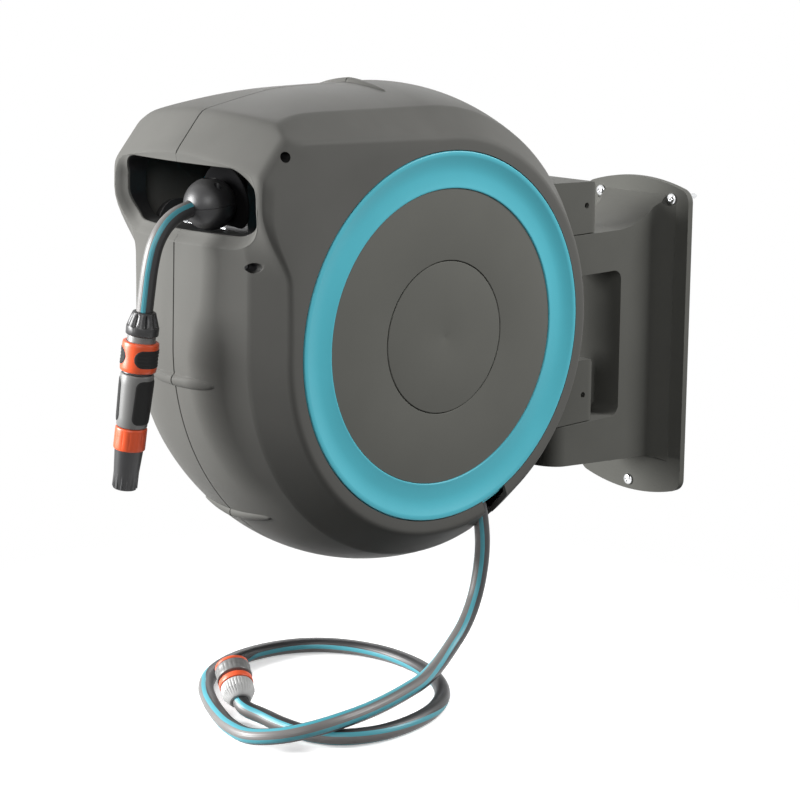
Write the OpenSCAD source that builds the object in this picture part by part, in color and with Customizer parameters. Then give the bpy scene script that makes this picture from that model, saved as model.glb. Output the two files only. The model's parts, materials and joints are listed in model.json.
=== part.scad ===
// Wall mounted automatic hose reel: a swivelling casing with a spring drum, a level-wind
// outlet, a hanging nozzle and a supply hose, carried by a C-shaped wall bracket.
// The origin is the centre of the bracket's wall face; the reel stands out towards -Y.

/* [Casing] */
// Half of the casing's width, from the seam to the side face
casing_half_w = 122; // [118:1:130]
// Width of the sloping edge between the crowned band and the side face
edge_w = 32; // [24:1:38]
// Radius of the casing at the seam
seam_r = 248; // [244:1:256]
// How far the crowned band falls from the seam to its edge
band_drop = 20; // [14:1:24]
// Width of the border between the side ring and the casing's edge
border_w = 14; // [11:1:20]
// Thickness of the casing's wall
casing_wall = 4; // [3:0.5:5]
// Gap that shows as the seam line between the two halves
seam_gap = 0.3; // [0.2:0.1:0.6]
// How far the flat at the back lies inside the seam's radius
back_inset = 40; // [34:1:48]

/* [Outlet snout] */
// How far the sloping brow of the snout stands out past the seam's radius
brow_rise = 17.5; // [14:0.5:22]
// How far the brow falls towards the sides
brow_crown_h = 15; // [10:1:20]
// How far the slanted visor above the window stands out past the seam's radius
visor_rise = 59; // [54:1:64]
// How far the visor falls back towards the sides
visor_crown_h = 19; // [14:1:24]
// How far the front face falls back towards the sides
face_crown_h = 11; // [8:1:15]
// Rounding of the snout's upper side edges
brow_round_r = 12; // [8:1:16]
// Rounding of the snout's front side edges
face_round_r = 10; // [8:1:14]

/* [Outlet window] */
// Width of the casing that is left beside the window
window_margin = 19; // [18:1:26]
// Height of the window
window_h = 65; // [58:1:68]
// Corner radius of the window
window_corner_r = 28; // [20:1:29]

/* [Side ring and cover] */
// How far the coloured side ring lies inside the seam's radius
ring_inset = 62; // [58:1:66]
// Width of the coloured side ring
ring_band_w = 37; // [32:1:42]
// Width of the ring's raised outer rim
rim_w = 4; // [3:0.5:8]
// Depth of the dished band inside the rim
ring_dish = 4.5; // [3:0.5:6]
// Thickness of the side cover
cover_t = 4; // [3:0.5:5]
// Radius of the hub cap in the middle of the side cover
hub_cap_r = 77; // [70:1:84]

/* [Drum] */
// Outer radius of the drum core
core_r = 80; // [76:1:84]
// Wall of the drum core
core_wall = 4; // [3:0.5:6]
// Room for the drive and the inlet between a flange and the casing's side
drum_inset = 45; // [44:1:46]
// How far the rims of the drum flanges lie inside the seam's radius
flange_inset = 63; // [60:1:68]
// Thickness of the drum flanges
flange_t = 3; // [2:0.5:4]
// Radius of the fixed water spigot that the drum turns on
spigot_r = 10; // [9:0.5:11]
// Radius of the fixed spring arbor on the other side
arbor_r = 14; // [12:0.5:16]
// Room round the mainspring inside the drum core
spring_room = 10; // [6:1:16]

/* [Hose] */
// Outer diameter of the hose
hose_d = 16; // [15:0.5:16]
// Depth of the outer hose layer's middle below the flanges' rims
wind_depth = 33; // [32:1:40]
// Gap between neighbouring turns
turn_gap = 0.8; // [0.6:0.1:0.9]

/* [Level wind] */
// Resting place of the outlet carriage along the drum
carriage_x = 29; // [0:1:40]
// Width of the outlet carriage
carriage_w = 36; // [32:1:38]
// Depth of the outlet carriage
carriage_depth = 26; // [24:1:28]
// Radius of the guide rod
rod_r = 5; // [4:0.5:6]
// Radius of the traverse screw
screw_r = 7; // [6:0.5:8]
// Radius of the hose stop ball
ball_r = 25; // [22:0.5:26]

/* [Belt drive] */
// Running radius of the pulley on the drum
drum_pulley_r = 60; // [50:1:64]
// Running radius of the pulley on the traverse screw
screw_pulley_r = 20; // [18:1:22]
// Width of the belt
belt_w = 8; // [6:0.5:8]
// Thickness of the belt
belt_t = 2; // [1.5:0.1:2.5]

/* [Ratchet] */
// Tip radius of the ratchet wheel
tooth_tip_r = 62; // [56:1:66]
// Depth of the ratchet teeth
tooth_h = 6; // [4:0.5:7]
// Number of ratchet teeth
tooth_count = 18; // [12:1:24]

/* [Swivel] */
// Distance of the swivel axis from the wall
pivot_off = 136; // [134:1:142]
// Distance from the flat at the casing's back to the swivel axis
swivel_gap = 82; // [78:1:90]
// Radius of the swivel pins
pin_r = 9; // [7:0.5:10]
// Half of the width of the hinge knuckles
knuckle_half_w = 40; // [36:1:41]
// How far the knuckles reach past the swivel axis
knuckle_tail = 22; // [20:1:24]
// Height of the upper knuckle
upper_knuckle_h = 61; // [56:1:64]
// Height of the lower knuckle
lower_knuckle_h = 75; // [68:1:78]

/* [Wall bracket] */
// Width of the wall plate
plate_w = 158; // [150:1:166]
// Height of the wall plate
plate_h = 378; // [376:1:390]
// Thickness of the wall plate
plate_t = 8; // [7:0.5:10]
// Height of the drum axis above the middle of the plate
drum_z = 71; // [66:1:76]
// Half of the width of the bracket's arms
arm_half_w = 41; // [38:1:44]
// Height of the upper arm's top above the middle of the plate
upper_arm_z = 137; // [136:1:139]
// Thickness of the upper arm
upper_arm_h = 46; // [44:1:50]
// Depth of the lower arm's top below the middle of the plate
lower_arm_z = 79; // [78:1:81]
// Thickness of the lower arm at its front
lower_arm_h = 44; // [44:1:50]
// Distance between the two upper wall screws
screw_span = 109; // [100:1:114]
// Radius of the wall screws' shanks
wall_screw_r = 3; // [2.5:0.25:4]
// Length of the wall screws behind the plate
wall_screw_l = 35; // [25:1:60]

/* [Outlet connector and nozzle] */
// Lean of the hanging nozzle towards the front, in degrees
lean_front = 5.5; // [0:0.5:8]
// Lean of the hanging nozzle towards the side, in degrees
lean_side = 6; // [0:0.5:8]
// Length of the clamp nut
nut_l = 22; // [20:1:28]
// Radius of the clamp nut
nut_r = 15.5; // [14:0.5:17]
// Length of the grey collar that shows when the sleeve is drawn back
collar_show = 3; // [2:0.5:5]
// Length of the orange release sleeve
sleeve_l = 28.5; // [24:0.5:30]
// Radius of the orange release sleeve
sleeve_r = 17.3; // [16:0.1:19]
// Travel of the release sleeve
sleeve_travel = 3; // [2:0.5:4]
// Length of the nozzle's grey body
nozzle_body_l = 52; // [48:1:60]
// Radius of the nozzle's grey body at its top
nozzle_body_r = 16; // [15:0.5:17]
// Length of the nozzle's orange setting ring
nozzle_ring_l = 22; // [18:1:26]
// Radius of the nozzle's orange setting ring
nozzle_ring_r = 15.2; // [14.4:0.1:17]
// Length of the nozzle's tapered tip
nozzle_tip_l = 39; // [34:1:44]
// Radius of the tapered tip at its mouth
nozzle_mouth_r = 11; // [9:0.5:12]

/* [Supply connector] */
// Length of the light grey clamp nut
supply_nut_l = 20; // [16:1:24]
// Radius of the light grey clamp nut
supply_nut_r = 16.5; // [15:0.5:18]
// Length of the orange connector body past the nut
supply_body_l = 26; // [24:1:32]
// Radius of the grey release sleeve
supply_sleeve_r = 18; // [17:0.5:19]
// Length of the grey release sleeve
supply_sleeve_l = 13.5; // [12:0.5:14]
// Radius of the socket that takes the tap fitting
socket_r = 8.9; // [8:0.1:9.5]
// Depth of the socket that takes the tap fitting
socket_depth = 20; // [16:1:22]

/* [Hidden] */
$fn = 96;

// Clearances and the overrun of every cut
fit = 0.3;
press = 0.05;
over = 1;

// Layout of the reel about the drum axis: it grows with the seam's radius
drawn_seam_r = 248;
reel_share = seam_r / drawn_seam_r;
rod_y_share = 0.71774;
rod_z_share = 0.75806;
screw_z_share = 0.45161;
ball_y_share = 0.89516;
ball_z_share = 0.58468;
window_z_share = 0.61089;

band_half_w = casing_half_w - edge_w;
band_r = seam_r - band_drop;
ring_r = seam_r - ring_inset;
ring_inner_r = ring_r - ring_band_w;
border_r = ring_r + border_w;
back_flat = seam_r - back_inset;
brow_dist = seam_r + brow_rise;
visor_dist = seam_r + visor_rise;
window_half_w = casing_half_w - window_margin;
window_z = seam_r * window_z_share;
drum_half_w = casing_half_w - drum_inset;
flange_r = seam_r - flange_inset;
wind_r = flange_r - wind_depth;
rod_y = seam_r * rod_y_share;
rod_z = seam_r * rod_z_share;
screw_z = seam_r * screw_z_share;
ball_y = seam_r * ball_y_share;
ball_z = seam_r * ball_z_share;

// Place of the drum axis
drum_y = pivot_off + swivel_gap + back_flat;
hose_r = hose_d / 2;

// Directions of the snout's flat faces, as angles about the drum axis
roof_angle = 90.5;
roof_twist = 2.5;
brow_angle = 100.8;
visor_angle = 139.4;
face_angle = 177.5;
roof_fade = 8;
face_fade_start = 147;
face_fade_end = 159;
corner_power = 160;
flat_span = 60;
full_turn = 360;

// Sampling of the casing's surface
roof_step = 4;
corner_step = 1;
round_step = 6;
corner_from = 126;
corner_to = 146;
band_steps = 4;
edge_steps = 7;
wall_slope_share = 1.1;
ring_gap = 1;
open_r = ring_r + ring_gap;

function smooth(a, b, t) = let (u = min(1, max(0, (t - a) / (b - a)))) u * u * (3 - 2 * u);
function polar(r, a) = [r * cos(a), r * sin(a)];
function arc(c, r, a, b, n) = [for (i = [0:n]) c + polar(r, a + (b - a) * i / n)];

// Radius of the plain drum part of the casing at a distance x from the seam
function drum_part_r(x) = x <= band_half_w
  ? seam_r - (seam_r - band_r) * pow(x / band_half_w, 2)
  : band_r - (band_r - border_r) * (x - band_half_w) / (casing_half_w - band_half_w);

// Drop of a rounded side edge at a distance x from the seam
function edge_drop(x, r) = let (u = max(0, x - casing_half_w + r)) r - sqrt(max(0, r * r - u * u));
function face_dist(x, reach, crown, r) = reach - crown * pow(x / casing_half_w, 2) - edge_drop(x, r);

// Radius of the snout: flat faces whose corners are rounded by a power mean
function plane_term(t, a, d) = pow(max(0, cos(t - a)) * seam_r / d, corner_power);
function snout_r(t, x) = seam_r * pow(
  plane_term(t, roof_angle - roof_twist * pow(x / casing_half_w, 2), drum_part_r(x))
  + plane_term(t, brow_angle, face_dist(x, brow_dist, brow_crown_h, brow_round_r))
  + plane_term(t, visor_angle, face_dist(x, visor_dist, visor_crown_h, brow_round_r))
  + plane_term(t, face_angle, face_dist(x, seam_r, face_crown_h, face_round_r)), -1 / corner_power);

// Radius of the casing's outside at the angle t and the distance x from the seam
function snout_share(t) = smooth(roof_angle, roof_angle + roof_fade, t)
  * (1 - smooth(face_fade_start, face_fade_end, t));
function round_r(t, x) = t > roof_angle && t < face_angle
  ? let (w = snout_share(t), r0 = snout_r(t, 0))
    r0 - (1 - w) * (seam_r - drum_part_r(x)) - w * (r0 - snout_r(t, x))
  : drum_part_r(x);
function casing_r(t, x) = let (b = abs(t - full_turn))
  b < flat_span ? min(round_r(t, x), back_flat / cos(b)) : round_r(t, x);

casing_angles = concat([for (a = [90:roof_step:corner_from - 1]) a],
  [for (a = [corner_from:corner_step:corner_to - 1]) a],
  [for (a = [corner_to:roof_step:179]) a],
  [for (a = [180:round_step:449]) a]);
casing_x = concat([for (i = [0:band_steps]) max(seam_gap / 2, band_half_w * i / band_steps)],
  [for (i = [1:edge_steps]) band_half_w + edge_w * sin(90 * i / edge_steps)]);

function casing_ring(x, shrink, at) = [for (t = casing_angles)
  concat([at], polar(casing_r(t, x) - shrink, t))];
function open_ring(at) = [for (t = casing_angles) concat([at], polar(open_r, t))];
inner_share = (casing_half_w - casing_wall) / casing_half_w;
function inner_x(x) = max(seam_gap / 2, x * inner_share);
casing_rings = concat([for (x = casing_x) casing_ring(x, 0, x)],
  [open_ring(casing_half_w), open_ring(casing_half_w - casing_wall)],
  [for (i = [len(casing_x) - 1:-1:0]) let (x = casing_x[i])
    casing_ring(x, casing_wall * wall_slope_share, inner_x(x))]);

// A closed skin over rings of points that runs round in both directions
module ring_skin(rings) {
  m = len(rings);
  n = len(rings[0]);
  faces = [for (k = [0:m - 1], i = [0:n - 1])
    let (a = k * n + i, b = k * n + (i + 1) % n, c = ((k + 1) % m) * n + (i + 1) % n,
      d = ((k + 1) % m) * n + i)
    each [[a, c, b], [a, d, c]]];
  polyhedron([for (ring = rings) each ring], faces, convexity = 8);
}

// A tube with flat ends over open rings of points
module tube_skin(rings) {
  m = len(rings);
  n = len(rings[0]);
  sides = [for (k = [0:m - 2], i = [0:n - 1])
    let (a = k * n + i, b = k * n + (i + 1) % n, c = (k + 1) * n + (i + 1) % n, d = (k + 1) * n + i)
    each [[a, b, c], [a, c, d]]];
  start = [for (i = [1:n - 2]) [0, i + 1, i]];
  last = (m - 1) * n;
  end = [for (i = [1:n - 2]) [last, last + i, last + i + 1]];
  polyhedron([for (ring = rings) each ring], concat(sides, start, end), convexity = 8);
}

// Rings of a tube that follows route points, carried along without twist
function unit(v) = v / norm(v);
function tangent(p, i) = unit(p[min(i + 1, len(p) - 1)] - p[max(i - 1, 0)]);
function carried(n, t) = unit(n - (n * t) * t);
function normals(p, i, n) = i >= len(p) ? [] : let (m = carried(n, tangent(p, i)))
  concat([m], normals(p, i + 1, m));
function tube_rings(p, r, sides, n0) = let (ns = normals(p, 0, n0)) [for (i = [0:len(p) - 1])
  let (t = tangent(p, i), u = ns[i], v = cross(t, u))
  [for (k = [0:sides - 1]) let (a = full_turn * k / sides) p[i] + r * (cos(a) * u + sin(a) * v)]];

module at_reel() {
  translate([0, -drum_y, drum_z]) children();
}

// Turns a profile of radius and place along X about the drum axis
module turned_x(points) {
  rotate([0, 90, 0]) rotate_extrude() polygon(points);
}

module rod_x(r, x0, x1) {
  translate([x0, 0, 0]) rotate([0, 90, 0]) cylinder(r = r, h = x1 - x0);
}

module tube_x(r, hole_r, x0, x1) {
  difference() {
    rod_x(r, x0, x1);
    rod_x(hole_r, x0 - over, x1 + over);
  }
}

module both_sides() {
  children();
  mirror([1, 0, 0]) children();
}

module rounded_rect(w, h, r) {
  square([w - 2 * r, h], center = true);
  square([w, h - 2 * r], center = true);
  for (sx = [-1, 1], sy = [-1, 1])
    translate([sx * (w / 2 - r), sy * (h / 2 - r)]) circle(r);
}

// Places of the two screws that join the casing halves beside the window
boss_in = 7;
boss_along = 16;
lower_boss_in = 7.7;
lower_boss_angle = 157.5;
casing_screw_places = [
  polar(visor_dist - visor_crown_h - boss_in, visor_angle) + polar(boss_along, visor_angle - 90),
  polar(seam_r - lower_boss_in, lower_boss_angle)];
boss_r = 7.5;
boss_sinks = [10, 38];
screw_hole_r = 2.2;
screw_shank_r = 2;
screw_head_r = 4.2;
screw_head_h = 3;
screw_seat_sinks = [24, 45];
recess_r = 5;
screw_thread_l = 30;

// Sockets of the guide rod and the traverse screw in the casing's cheeks
journal_r = 4.5;
socket_boss_r = 9;
rod_sink = 16;
socket_sink = 24;
rod_end_x = casing_half_w - rod_sink;
socket_x = casing_half_w - socket_sink;

// Slot at the casing's lower edge where the supply hose comes out
slot_angle = -69;
slot_w = 34;
slot_sink = 34;
slot_x = casing_half_w - slot_sink;
hose_sink = 24;
hose_x = casing_half_w - hose_sink;
port_r = 9;

module at_casing_screw(i) {
  translate([0, casing_screw_places[i][0], casing_screw_places[i][1]]) children();
}

module socket_places() {
  for (z = [rod_z, screw_z]) translate([0, -rod_y, z]) children();
}

module casing_half(screw_bore_r, head_room) {
  difference() {
    union() {
      ring_skin(casing_rings);
      for (i = [0, 1]) at_casing_screw(i)
        rod_x(boss_r, seam_gap / 2, casing_half_w - boss_sinks[i]);
      socket_places() rod_x(socket_boss_r, socket_x, casing_half_w - casing_wall);
    }
    translate([0, -rod_y - carriage_depth, window_z]) rotate([90, 0, 0]) linear_extrude(visor_dist)
      rounded_rect(2 * window_half_w, window_h, window_corner_r);
    for (i = [0, 1]) at_casing_screw(i) {
      rod_x(screw_bore_r, -over, casing_half_w - screw_seat_sinks[i] + over);
      if (head_room) rod_x(recess_r, casing_half_w - screw_seat_sinks[i], casing_half_w + over);
    }
    translate([0, -rod_y, rod_z]) rod_x(rod_r + fit, socket_x - over, rod_end_x + fit);
    translate([0, -rod_y, screw_z]) rod_x(journal_r + fit, socket_x - over, rod_end_x + fit);
    for (z = knuckle_bolt_z, s = [-1, 1])
      translate([s * knuckle_bolt_x, back_flat - 2 * casing_wall, z]) rotate([-90, 0, 0])
        cylinder(r = bolt_r + fit, h = 4 * casing_wall);
  }
}

module casing_right() {
  color("#55544f") at_reel() difference() {
    casing_half(screw_hole_r, true);
    rotate([slot_angle, 0, 0]) translate([slot_x, open_r - ring_lip, -slot_w / 2])
      cube([casing_half_w, seam_r, slot_w]);
  }
}

module casing_left() {
  color("#55544f") at_reel() mirror([1, 0, 0]) casing_half(screw_hole_r, false);
}

module casing_screws() {
  color("#8f9092") at_reel() for (i = [0, 1]) at_casing_screw(i) {
    seat_x = casing_half_w - screw_seat_sinks[i];
    rod_x(screw_head_r, seat_x, seat_x + screw_head_h);
    rod_x(screw_shank_r, -screw_thread_l, seat_x);
  }
}

// Side ring, cover and hub cap: profiles of radius and distance from the seam
ring_proud = 0.8;
ring_top = casing_half_w + ring_proud;
ring_lip = 5;
lip_t = 3;
lip_x = casing_half_w - casing_wall - fit;
ledge_w = 6;
rim_edge = 2;
valley_share = 0.6;
inner_rise_share = 0.25;
cover_sink = 0.2;
cover_r = ring_inner_r - fit;
cover_top = ring_top - ring_dish - cover_sink;
ledge_x = cover_top - cover_t;
cap_gap = 0.6;
cap_depth = 2.4;
cap_t = 2.5;
hub_boss_r = 24;
hub_gap = 1;
hub_boss_x = hose_x + port_r + hub_gap;

module side_ring() {
  color("#4aaebf") turned_x([
    [ring_inner_r - ledge_w, ledge_x - lip_t], [ring_inner_r - ledge_w, ledge_x],
    [ring_inner_r, ledge_x], [ring_inner_r, ring_top - ring_dish * (1 - inner_rise_share)],
    [ring_r - ring_band_w * valley_share, ring_top - ring_dish], [ring_r - rim_w, ring_top],
    [ring_r - rim_edge, ring_top], [ring_r, ring_top - rim_edge], [ring_r, lip_x],
    [ring_r + ring_lip, lip_x], [ring_r + ring_lip, lip_x - lip_t], [ring_r - ring_lip, ledge_x - lip_t]]);
}

module side_cover() {
  color("#5b5a55") turned_x([
    [0, hub_boss_x], [hub_boss_r, hub_boss_x], [hub_boss_r, cover_top - cover_t],
    [cover_r, ledge_x], [cover_r, cover_top], [hub_cap_r + cap_gap, cover_top],
    [hub_cap_r + cap_gap, cover_top - cap_depth], [0, cover_top - cap_depth]]);
}

module hub_cap() {
  color("#5b5a55") turned_x([[0, cover_top - cap_depth], [hub_cap_r, cover_top - cap_depth],
    [hub_cap_r, cover_top - cap_depth + cap_t], [0, cover_top - cap_depth + cap_t]]);
}

module side_ring_right() { at_reel() side_ring(); }
module side_ring_left() { at_reel() mirror([1, 0, 0]) side_ring(); }
module side_cover_right() { at_reel() side_cover(); }
module side_cover_left() { at_reel() mirror([1, 0, 0]) side_cover(); }
module hub_cap_right() { at_reel() hub_cap(); }
module hub_cap_left() { at_reel() mirror([1, 0, 0]) hub_cap(); }

// Drum: core, web, flanges and shaft
hub_wall = 6;
spigot_bush_t = 3;
arbor_bush_t = 4;
bush_l = 10;
shaft_bore_r = spigot_r + spigot_bush_t;
shaft_r = shaft_bore_r + hub_wall;
web_inset = 33;
web_x = drum_half_w - web_inset;
web_t = 5;
shaft_proud = 3;
shaft_end_x = drum_half_w + flange_t + shaft_proud;
flange_bore_r = arbor_r + arbor_bush_t;
bead_r = 2;

module drum_core() {
  color("#3a3a3a") at_reel() {
    tube_x(core_r, core_r - core_wall, -drum_half_w, drum_half_w);
    tube_x(core_r - core_wall, shaft_r, web_x, web_x + web_t);
  }
}

module drum_shaft() {
  color("#8c8d8a") at_reel() tube_x(shaft_r, shaft_bore_r, web_x, shaft_end_x);
}

module drum_flange(bore_r) {
  color("#2f2f2f") difference() {
    union() {
      rod_x(flange_r, drum_half_w, drum_half_w + flange_t);
      tube_x(flange_r, flange_r - 2 * bead_r, drum_half_w, drum_half_w + flange_t + bead_r);
    }
    rod_x(bore_r, drum_half_w - over, drum_half_w + flange_t + over);
  }
}

module drum_flange_right() { at_reel() drum_flange(shaft_r); }
module drum_flange_left() { at_reel() mirror([1, 0, 0]) drum_flange(flange_bore_r); }

module drum_bushes() {
  color("#d8d2bf") at_reel() {
    tube_x(shaft_bore_r - fit, spigot_r, web_x + web_t, web_x + web_t + bush_l);
    tube_x(flange_bore_r - fit, arbor_r, -drum_half_w - bush_l / 2, -drum_half_w + bush_l / 2);
  }
}

// Wound hose: a plain core of inner layers under one helical outer layer
wind_pitch = hose_d + turn_gap;
wind_turns = floor((2 * drum_half_w - hose_d) / wind_pitch);
loop_rings = 24;
loop_sides = 6;
wind_l = wind_pitch * wind_turns;
function wind_point(i) = let (a = full_turn * i / loop_rings)
  concat([-wind_l / 2 + wind_pitch * i / loop_rings], polar(wind_r, a));
wind_count = loop_rings * wind_turns;
wind_rise = wind_pitch / (2 * PI);
wind_sag = wind_r - wind_r * cos(full_turn / loop_rings / 2);
function wind_dir(a) = unit([wind_rise, -wind_r * sin(a), wind_r * cos(a)]);
wind_path = concat([wind_point(0) - hose_d * wind_dir(0)], [for (i = [0:wind_count]) wind_point(i)],
  [wind_point(wind_count) + hose_d * wind_dir(0)]);
wind_rings = tube_rings(wind_path, hose_r, loop_sides, [1, 0, 0]);
turn_gaps = [for (i = [0:wind_count - loop_rings])
  norm(wind_point(i + loop_rings) - wind_point(i)) - hose_d];
echo(least_gap_between_turns = min(turn_gaps));  // wound_hose

module wound_hose() {
  color("#6d6c68") at_reel() tube_skin(wind_rings);
}

module wound_hose_core() {
  color("#5f5e5a") at_reel()
    tube_x(wind_r - wind_sag - hose_r - fit, core_r + fit, -drum_half_w + fit, drum_half_w - fit);
}

// Fixed centre: water inlet on the right, spring arbor on the left
elbow_r = 16;
elbow_gap = 11;
spigot_gap = 2;
elbow_x = drum_half_w + elbow_gap;
spigot_end_x = web_x + spigot_gap;
water_r = 5.5;
port_bore_r = water_r - fit;
seal_r = 1.2;
seal_pitch = 5;
arbor_end_x = 20;
spring_x = 26;
spring_end_gap = 5;
mainspring_r = core_r - core_wall - spring_room;
mainspring_w = drum_half_w - spring_x - spring_end_gap;

module inlet_elbow() {
  port_end = norm([supply_route[0][1], supply_route[0][2]]) - fit;
  color("#74736e") at_reel() difference() {
    union() {
      rod_x(elbow_r, elbow_x, hub_boss_x);
      rod_x(spigot_r, spigot_end_x, elbow_x);
      translate([hose_x, 0, 0]) rotate([slot_angle, 0, 0]) rotate([-90, 0, 0])
        cylinder(r = port_r, h = port_end);
    }
    rod_x(water_r, spigot_end_x - over, hose_x + water_r);
    translate([hose_x, 0, 0]) rotate([slot_angle, 0, 0]) rotate([-90, 0, 0])
      cylinder(r = port_bore_r, h = port_end + over);
  }
}

module inlet_seals() {
  color("#1d1d1d") at_reel() for (i = [1, 2])
    translate([web_x + web_t + bush_l + seal_pitch * i, 0, 0]) rotate([0, 90, 0]) rotate_extrude()
      translate([spigot_r + seal_r, 0]) circle(seal_r);
}

module spring_arbor() {
  color("#9a9b98") at_reel() rod_x(arbor_r, -hub_boss_x, -arbor_end_x);
}

module mainspring() {
  color("#6f7478") at_reel() tube_x(mainspring_r, arbor_r, -spring_x - mainspring_w, -spring_x);
}

// Belt from the drum to the traverse screw
belt_x = -drum_half_w - flange_t - 2 * bead_r - belt_w;
belt_cheek = 1.5;
cheek_h = 4;
pulley_gap = 0.5;
belt_dir = atan2(screw_z, -rod_y);
belt_span = norm([screw_z, rod_y]);
belt_arc_steps = 24;

module belt_outline(grow) {
  big = drum_pulley_r + grow;
  small = screw_pulley_r + grow;
  lap = acos((big - small) / belt_span);
  polygon(concat(arc([0, 0], big, belt_dir + lap, belt_dir + full_turn - lap, 2 * belt_arc_steps),
    arc([-rod_y, screw_z], small, belt_dir - lap, belt_dir + lap, belt_arc_steps)));
}

// Draws a flat outline of Y and Z places as a plate along X
module plate_x(x0, t) {
  multmatrix([[0, 0, 1, x0], [1, 0, 0, 0], [0, 1, 0, 0], [0, 0, 0, 1]]) linear_extrude(t) children();
}

module drive_belt() {
  color("#222222") at_reel() plate_x(belt_x, belt_w) difference() {
    belt_outline(fit + belt_t);
    belt_outline(fit);
  }
}

module pulley(r, bore_r, x0, x1) {
  turned_x([[bore_r, x0], [r, x0], [r, belt_x + belt_w + pulley_gap],
    [r + cheek_h, belt_x + belt_w + pulley_gap], [r + cheek_h, belt_x + belt_w + pulley_gap + belt_cheek],
    [r, belt_x + belt_w + pulley_gap + belt_cheek], [r, x1], [bore_r, x1]]);
}

module drum_pulley() {
  color("#c9c5b8") at_reel() pulley(drum_pulley_r, flange_bore_r + 2 * bead_r,
    belt_x - pulley_gap, -drum_half_w - flange_t);
}

module screw_pulley() {
  color("#c9c5b8") at_reel() translate([0, -rod_y, screw_z])
    pulley(screw_pulley_r, journal_r, belt_x - pulley_gap, belt_x + belt_w + pulley_gap + belt_cheek);
}

// Traverse screw: shank with a shallow helical groove pitch shown as turned rings
groove_d = 1;
groove_w = 5;
groove_count = 12;
screw_body_x = belt_x + belt_w + pulley_gap + belt_cheek;
groove_pitch = -2 * screw_body_x / (groove_count + 1);

module traverse_screw() {
  color("#b9bbbd") at_reel() translate([0, -rod_y, screw_z]) {
    difference() {
      rod_x(screw_r, screw_body_x, -screw_body_x);
      for (i = [1:groove_count]) translate([screw_body_x + groove_pitch * i, 0, 0])
        tube_x(screw_r + over, screw_r - groove_d, -groove_w / 2, groove_w / 2);
    }
    rod_x(journal_r, -rod_end_x, screw_body_x);
    rod_x(journal_r, -screw_body_x, rod_end_x);
  }
}

module guide_rod() {
  color("#c6c8ca") at_reel() translate([0, -rod_y, rod_z]) rod_x(rod_r, -rod_end_x, rod_end_x);
}

// Outlet carriage, stop ball and the hose that runs through them
lead_tilt = 6.5;
carriage_pad = 10;
carriage_foot = 12;
lead_play = 1.5;
lead_bore_r = hose_r + lead_play;
nose_r = 15;
ball_split = 0.4;
ball_screw_r = 3;
ball_screw_x = 16;
ball_screw_top = 8;
ball_screw_l = 16;
carriage_top = rod_z + carriage_pad;
carriage_bottom = screw_z - carriage_foot;

// Draws along the tilted outlet direction, from the middle of the stop ball
module at_ball() {
  at_reel() translate([carriage_x, -ball_y, ball_z]) rotate([lead_tilt, 0, 0]) children();
}

module hose_guide() {
  color("#262626") difference() {
    union() {
      at_reel() translate([carriage_x - carriage_w / 2, -rod_y - carriage_depth / 2, carriage_bottom])
        cube([carriage_w, carriage_depth, carriage_top - carriage_bottom]);
      at_ball() rotate([-90, 0, 0]) cylinder(r = nose_r, h = ball_y - rod_y);
    }
    at_reel() translate([carriage_x, -rod_y, rod_z]) rod_x(rod_r + fit, -carriage_w, carriage_w);
    at_reel() translate([carriage_x, -rod_y, screw_z]) rod_x(screw_r + fit, -carriage_w, carriage_w);
    at_ball() rotate([-90, 0, 0]) cylinder(r = lead_bore_r, h = ball_y);
    at_ball() sphere(ball_r + fit);
  }
}

module ball_half(up) {
  color("#1f1f1f") at_ball() difference() {
    sphere(ball_r);
    rotate([90, 0, 0]) cylinder(r = hose_r + fit, h = 3 * ball_r, center = true);
    translate([0, 0, -up * (ball_r - ball_split / 2)]) cube(2 * ball_r, center = true);
    translate([ball_screw_x, 0, -ball_screw_l / 2 - fit])
      cylinder(r = (ball_screw_r + fit) / 2, h = ball_r);
    if (up > 0) translate([ball_screw_x, 0, ball_screw_top])
      cylinder(r = ball_screw_r + fit, h = ball_r);
  }
}

module stop_ball_upper() { ball_half(1); }
module stop_ball_lower() { ball_half(-1); }

module stop_ball_screw() {
  color("#7d7e80") at_ball() translate([ball_screw_x, 0, 0]) {
    translate([0, 0, ball_screw_top]) cylinder(r = ball_screw_r, h = ball_screw_r);
    translate([0, 0, -ball_screw_l / 2])
      cylinder(r = ball_screw_r / 2, h = ball_screw_l / 2 + ball_screw_top);
  }
}

// Route of the outlet hose, from the drum to the clamp nut, from the carriage's place
drawn_lead = [[0, -19, 168.1], [0, -60, 163.3], [0, -100, 158.8], [0, -140, 154.2], [0, -180, 149.7],
  [0, -222, 144.9], [0, -246, 142], [-0.5, -262, 137], [-1, -275, 127], [-2.5, -284, 112],
  [-4.5, -289, 92], [-7, -291.5, 70], [-9, -293.5, 50], [-10.5, -294.8, 36]];
lead_route = [for (p = drawn_lead) [p[0], p[1] * reel_share, p[2] * reel_share]];
lead_sides = 10;

module hose_lead() {
  color("#6d6c68") at_reel() translate([carriage_x, 0, 0])
    tube_skin(tube_rings(lead_route, hose_r, lead_sides, [1, 0, 0]));
}

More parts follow.
